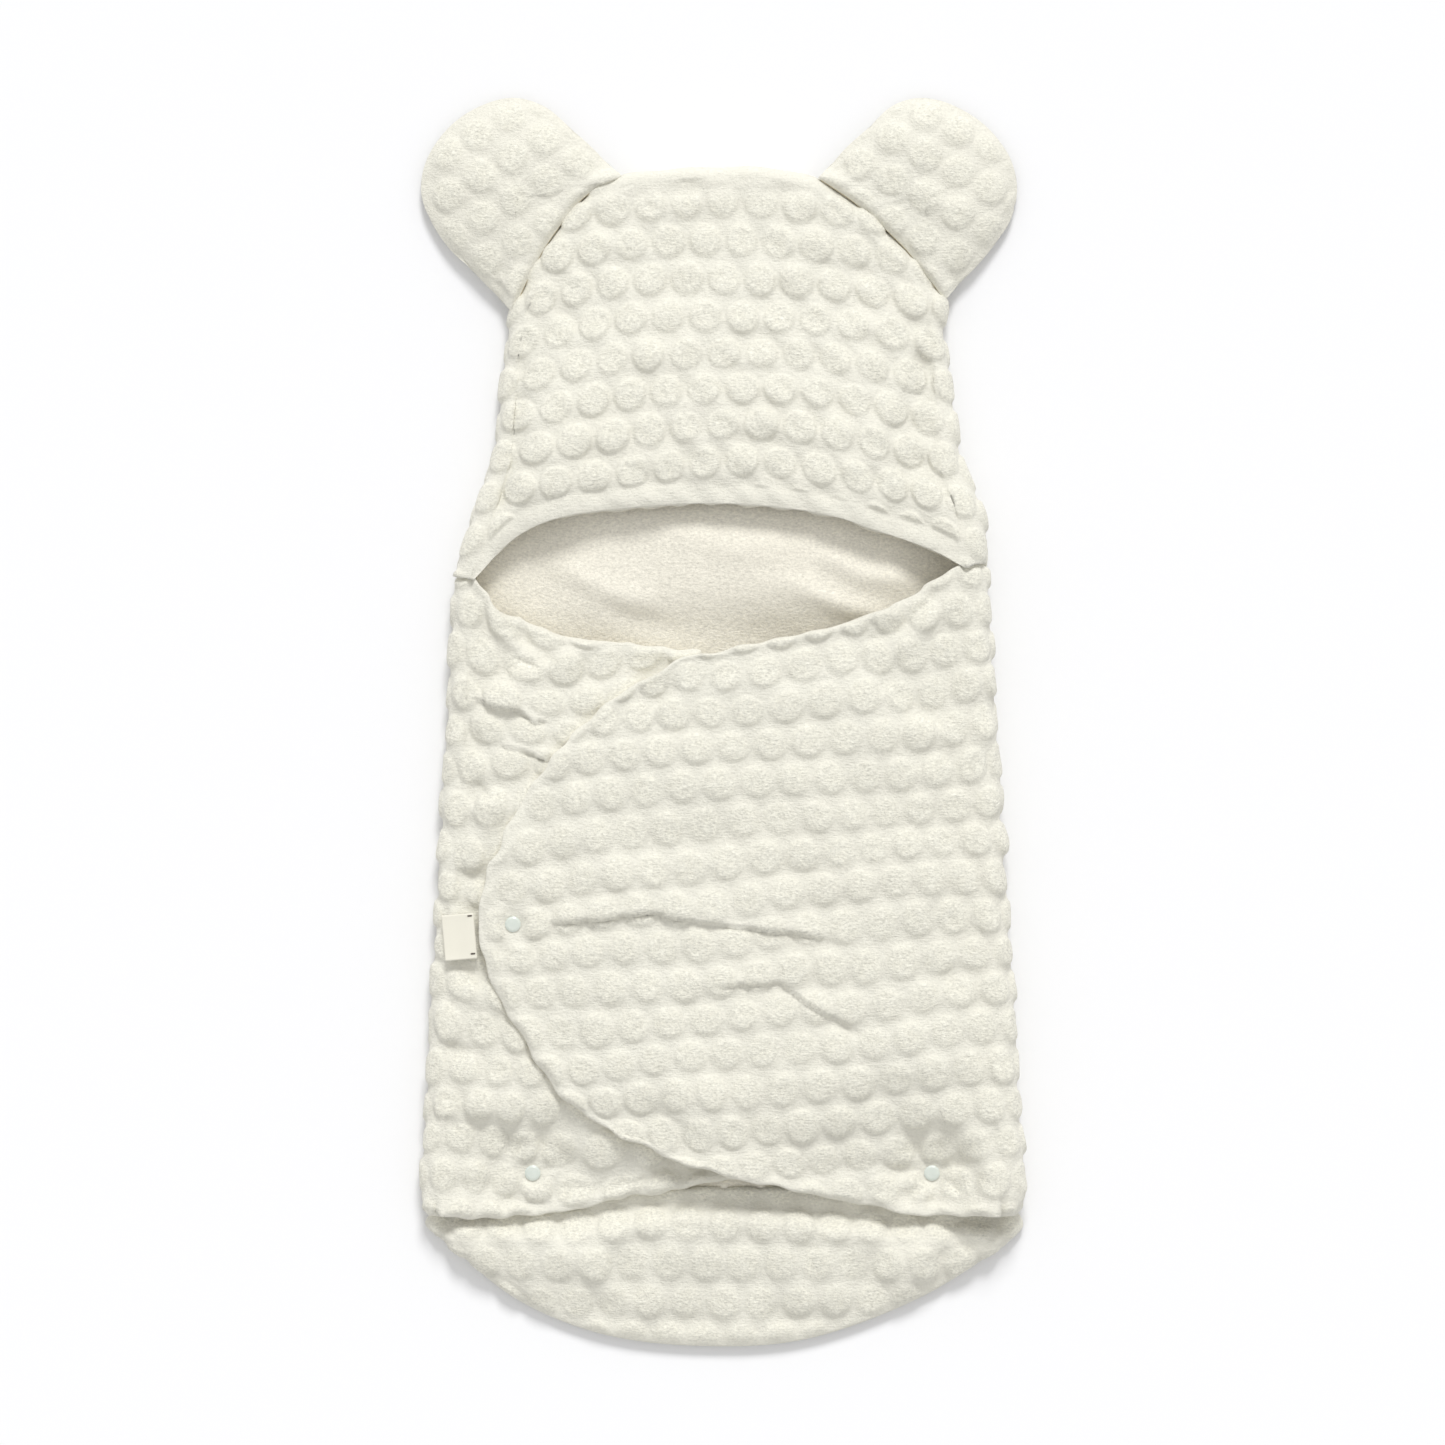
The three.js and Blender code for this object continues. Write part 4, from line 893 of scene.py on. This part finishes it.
def tail():
    curve = spline(pts([(-188, -356), (-142, -393), (-84, -417), (-15, -425.5), (55, -421), (133, -393),
                        (192, -357)]))
    left = spline(np.vstack([foot_left, pts([(-199, -333), (-203.5, -342), (-188, -356)])]))
    right = spline(np.vstack([foot_right, pts([(200, -333), (204.5, -343), (192, -357)])]))
    top = spline(np.vstack([foot_left, (foot_left + foot_right) / 2, foot_right]))
    u = lines(400, 2.3)
    v = lines(105, 2.3, False, True)
    plan = coons(top, curve, left, right, u, v)
    free = np.minimum(np.minimum(u, 1 - u)[:, None] * 380, (1 - v)[None] * 95)
    thick = edge_thickness(free, 10, 0.4)
    soft = unevenness(plan, 81, 46, 1.0) + folds(plan, [
        ([(152, -336), (156, -350), (168, -362)], -2.2, 4),
        ([(-120, -350), (-90, -372), (-60, -400)], 1.4, 9),
        ([(60, -345), (74, -372), (92, -396)], 1.4, 9)])
    soft = soft * smooth(free / 14) * smooth((1 - v)[None] * 4) * smooth(v[None] * 4)
    # the tail rises past the hem, sooner in the middle where the wings leave it room, then slopes down
    start = -338 + SHIFT[1] + 15 * (1 - smooth(np.abs(plan[..., 0] - SHIFT[0]) / 120))
    below = start - plan[..., 1]
    slope = smooth(below / 17) * (1 - smooth((below - 5) / 90)) * smooth(free / 26)
    height = PANEL + TAIL_RISE * slope + soft
    flat = np.concatenate([plan, height[..., None]], -1)
    out = upright(flat)
    at_hinge = 1 - smooth((TAIL_HINGE + SHIFT[1] - plan[..., 1]) / 14)
    flat = puckered(flat, out, thick, np.maximum(at_hinge, 1 - smooth((free - 4) / 22)), TAIL_PUCKER)
    height = flat[..., 2]
    cloth = plan - SHIFT - (-12.0, -368.5) + sway(plan, 91, 1.5)
    keep = smooth(free / 8)
    inset = (PANEL - thick) / 2
    deep = np.maximum(height - inset - 0.25, 1.2)
    shell = pad("tail_plush", flat, out, inset, inset + (deep - inset) * 0.62, cloth, keep, PLUSH_MAT, None,
                ["tail_lining", "tail_wadding"], 2.4)
    under = pad("tail_under_cloth", flat, out, inset + (deep - inset) * 0.65, deep, cloth, keep * 0,
                PLUSH_MAT, None, ["tail_shell"])
    for piece in (shell, under):
        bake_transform(piece)


tail()


# ---------------- ears
EAR_PRESSURE, EAR_GROWTH = 3.0, 0.012


def ear(name, seam, rim, centre, tilt, dot_height, ridge):
    """A stuffed lobe: front and back faces meet in a seam round the rim."""
    centre = pts(centre)
    seam_line = spline(pts(seam))
    root = seam_line(np.linspace(0, 1, 12))
    away = centre - root
    root = root + away / np.linalg.norm(away, axis=1, keepdims=True) * 0.4
    outer = spline(np.vstack([root[-1], pts(rim), root[0]]))
    loop = np.vstack([root, outer(np.linspace(0, 1, 40)[1:-1])])
    closed = spline(np.vstack([loop, loop[:1]]), 8)
    around = 150
    ring_t = np.arange(around) / around
    edge = closed(ring_t)
    rho = np.sin(np.linspace(0.02, 1, 34) * math.pi / 2)
    plan = centre + (edge - centre)[None] * rho[:, None, None]
    d_seam, _ = along(plan - SHIFT, [tuple(p) for p in (seam_line(np.linspace(0, 1, 9)) - SHIFT)])
    root_low = smooth(np.abs(d_seam) / 46)
    r = rho[:, None] * np.ones(around)[None]
    seam_points = seam_line(np.linspace(0, 1, 40))[None]
    at_root = np.exp(-(np.linalg.norm(edge[:, None] - seam_points, axis=-1).min(1) / 9) ** 2)
    rim_z = 7.5 + 6.3 * at_root[None] * smooth((rho[:, None] - 0.35) / 0.65)
    dome = (1 - r ** 2.8)
    top = rim_z + 0.8 + dome * (10.5 + 3.0 * root_low) + unevenness(plan, 101, 42, 0.8) * dome
    top = top + folds(plan, ridge) * dome ** 0.3
    low = rim_z - 0.8 - (rim_z - 1.0) * (1 - r ** 6)
    verts, faces = [], []
    n = len(rho) * around
    for z in (top, low):
        verts.append(np.concatenate([plan, z[..., None]], -1).reshape(-1, 3))
    verts.append(np.array([[*centre, top[0].mean()], [*centre, low[0].mean()]]))
    verts = np.concatenate(verts) * MM
    k = np.arange(around)
    nxt = (k + 1) % around
    for layer, flip in ((0, False), (n, True)):
        for row in range(len(rho) - 1):
            a = layer + row * around
            quad = np.stack([a + k, a + around + k, a + around + nxt, a + nxt], -1)
            faces += (quad[:, ::-1] if flip else quad).tolist()
        tip = 2 * n + (1 if flip else 0)
        tri = np.stack([np.full(around, tip), layer + k, layer + nxt], -1)
        faces += (tri[:, ::-1] if flip else tri).tolist()
    last = (len(rho) - 1) * around
    faces += np.stack([last + k, n + last + k, n + last + nxt, last + nxt], -1).tolist()
    from_seam = np.linalg.norm(verts[:, None, :2] / MM - seam_points, axis=-1).min(1)
    pinned = (from_seam < 4) | (verts[:, 2] < 0.003)
    moved = capped(simulated(verts / MM, faces, pinned, EAR_PRESSURE, EAR_GROWTH), EAR_PUCKER)
    moved[:, 2] = np.where(verts[:, 2] < 0.006, np.maximum(moved[:, 2], 0), moved[:, 2])
    verts = verts + moved * MM * smooth((from_seam - 3) / 12)[:, None]
    mesh = made_mesh(name + "_plush", verts.tolist(), faces)
    cloth = turn(verts[:, :2] / MM, tilt, centre)
    keep = np.concatenate([smooth((1 - r) * 7).ravel(), np.zeros(n), [1, 0]])
    mark(mesh, cloth, keep)
    turn_outward(mesh)
    obj = placed(name + "_plush", mesh)
    raise_dots(obj, PLUSH_MAT, dot_height)
    finish_piece(obj, PLUSH_MAT, None, [name + "_front", name + "_back", name + "_wadding"])
    middle = (seam_line(0.0) + seam_line(1.0)) / 2
    out = centre - middle
    out /= np.linalg.norm(out)
    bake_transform(obj)
    seam_thread(name, seam_line, centre)


def seam_thread(name, line, centre):
    """The sewn line between ear and hood: a thin cord of thread that sits in the crease."""
    t = np.linspace(0.02, 0.98, 60)
    p = line(t)
    curve = bpy.data.curves.new(name + "_seam_thread", "CURVE")
    curve.dimensions = "3D"
    s = curve.splines.new("POLY")
    s.points.add(len(p) - 1)
    away = (centre - p) / np.linalg.norm(centre - p, axis=1, keepdims=True)
    for k, q in enumerate(p + away * 0.6):
        lift = 13.6 + 0.25 * math.sin(k * 1.9)
        s.points[k].co = (q[0] * MM, q[1] * MM, lift * MM, 1)
    curve.bevel_depth = 0.0006
    curve.bevel_resolution = 2
    tmp = placed(name + "_tmp", curve)
    mesh = evaluated(tmp)
    bpy.data.objects.remove(tmp)
    obj = placed(name + "_seam_thread", mesh)
    mesh.materials.clear()
    mesh.materials.append(SEAM_MAT)
    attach(obj, "back")


ear("left_ear",
    [(-144, 279), (-128, 312), (-112, 337), (-92, 360), (-69, 372)],
    [(-88, 390), (-104, 404), (-123, 420), (-146, 425.5), (-178, 413), (-200, 388), (-206, 364), (-200, 344),
     (-188, 325), (-168, 305)], (-142, 356), 30, 1.8,
    [([(-156, 304), (-134, 336), (-112, 362)], 1.2, 6),
     ([(-168, 318), (-140, 352), (-122, 372)], -0.9, 7)])
ear("right_ear",
    [(64, 371), (89, 354), (124, 322), (139, 303), (151, 288)],
    [(168, 306), (184, 325), (196, 344), (200, 364), (194, 387), (172, 412), (139, 425.5), (117, 421),
     (98, 404), (82, 390)],
    (137, 358), -27, 2.2,
    [([(108, 362), (126, 340), (150, 310)], 1.0, 6), ([(112, 380), (130, 358), (158, 326)], -0.8, 7)])


# ---------------- label
def label():
    lo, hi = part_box("label")
    centre = (lo + hi) / 2
    a = math.radians(5)
    reach, wide = 21.0, 31.0
    root = np.array([hi.x / MM - 1.6, centre.y / MM])
    out_way, wide_way = np.array([-math.cos(a), -math.sin(a)]), np.array([-math.sin(a), math.cos(a)])
    floor = lo.z / MM + 0.35
    s = np.linspace(0, 1, 26)
    lift = 2.2 * (1 - smooth(s * 1.5)) + 0.5 * np.sin(s * 3.0)
    up = [(reach * t, floor + 1.35 + z) for t, z in zip(s, lift)]
    bend = [(reach + 0.75 * math.cos(x), floor + 0.6 + lift[-1] + 0.75 * math.sin(x))
            for x in np.linspace(1.4, -1.4, 9)]
    down = [(reach * t, floor - 0.1 + z * 0.9) for t, z in zip(s[::-1], lift[::-1])]
    path = np.array(up + bend + down)
    w = np.linspace(-wide / 2, wide / 2, 30)
    grid = np.zeros((len(path), len(w), 3))
    curl = 0.5 * (w / (wide / 2)) ** 4
    for k, (r, z) in enumerate(path):
        grid[k, :, :2] = root + out_way * r + w[:, None] * wide_way
        grid[k, :, 2] = z + curl * (0.3 + 0.7 * r / reach)
    mesh = made_mesh("label_tape_loop", (grid.reshape(-1, 3) * MM).tolist(),
                     grid_faces(len(path), len(w), 0, True).tolist())
    obj = placed("label_tape_loop", mesh)
    mod = obj.modifiers.new("ply", "SOLIDIFY")
    mod.thickness = 0.00045
    mod.offset = 0
    obj.data = evaluated(obj)
    obj.modifiers.clear()
    finish_piece(obj, TAPE_MAT, "label", ["label"])


label()
for n, o in frame["nodes"].items():
    if "snap" in n or "stitch" in n:
        o.data.materials.clear()
        o.data.materials.append(SNAP_MAT if "snap" in n else THREAD_MAT)


# ---------------- floor, light and camera
def floor():
    half, level = 6.0, -0.0004
    corners = [(-half, -half, level), (half, -half, level), (half, half, level), (-half, half, level)]
    mesh = made_mesh("floor", corners, [(0, 1, 2, 3)])
    obj = placed("floor", mesh)
    m, t, b = principled("floor_paper")
    put(t, b, {"Base Color": srgb("#F2F2F3"), "Roughness": 0.9, "Specular IOR Level": 0.1})
    mesh.materials.append(m)


def sun(name, elevation, spread, strength):
    """Broad daylight from beyond the hood."""
    data = bpy.data.lights.new(name, "SUN")
    data.angle = math.radians(spread)
    data.energy = strength
    placed(name, data).rotation_euler = (-math.radians(90 - elevation), 0, math.radians(-6))


floor()
sun("window", 39, 18, 2.05)
world = bpy.context.scene.world or bpy.data.worlds.new("studio")
bpy.context.scene.world = world
world.use_nodes = True
back_node = next(n for n in world.node_tree.nodes if n.type == "BACKGROUND")
back_node.inputs[0].default_value = (1, 1, 1, 1)
back_node.inputs[1].default_value = 0.71

camera = bpy.data.cameras.new("camera")
camera.lens, camera.sensor_width = 200, 36
camera.clip_end = 50
eye = placed("camera", camera)
eye.location = (0.0, 0.0, 0.987 * 200 / 36)
bpy.context.scene.camera = eye
bpy.context.scene.view_settings.view_transform = "Standard"
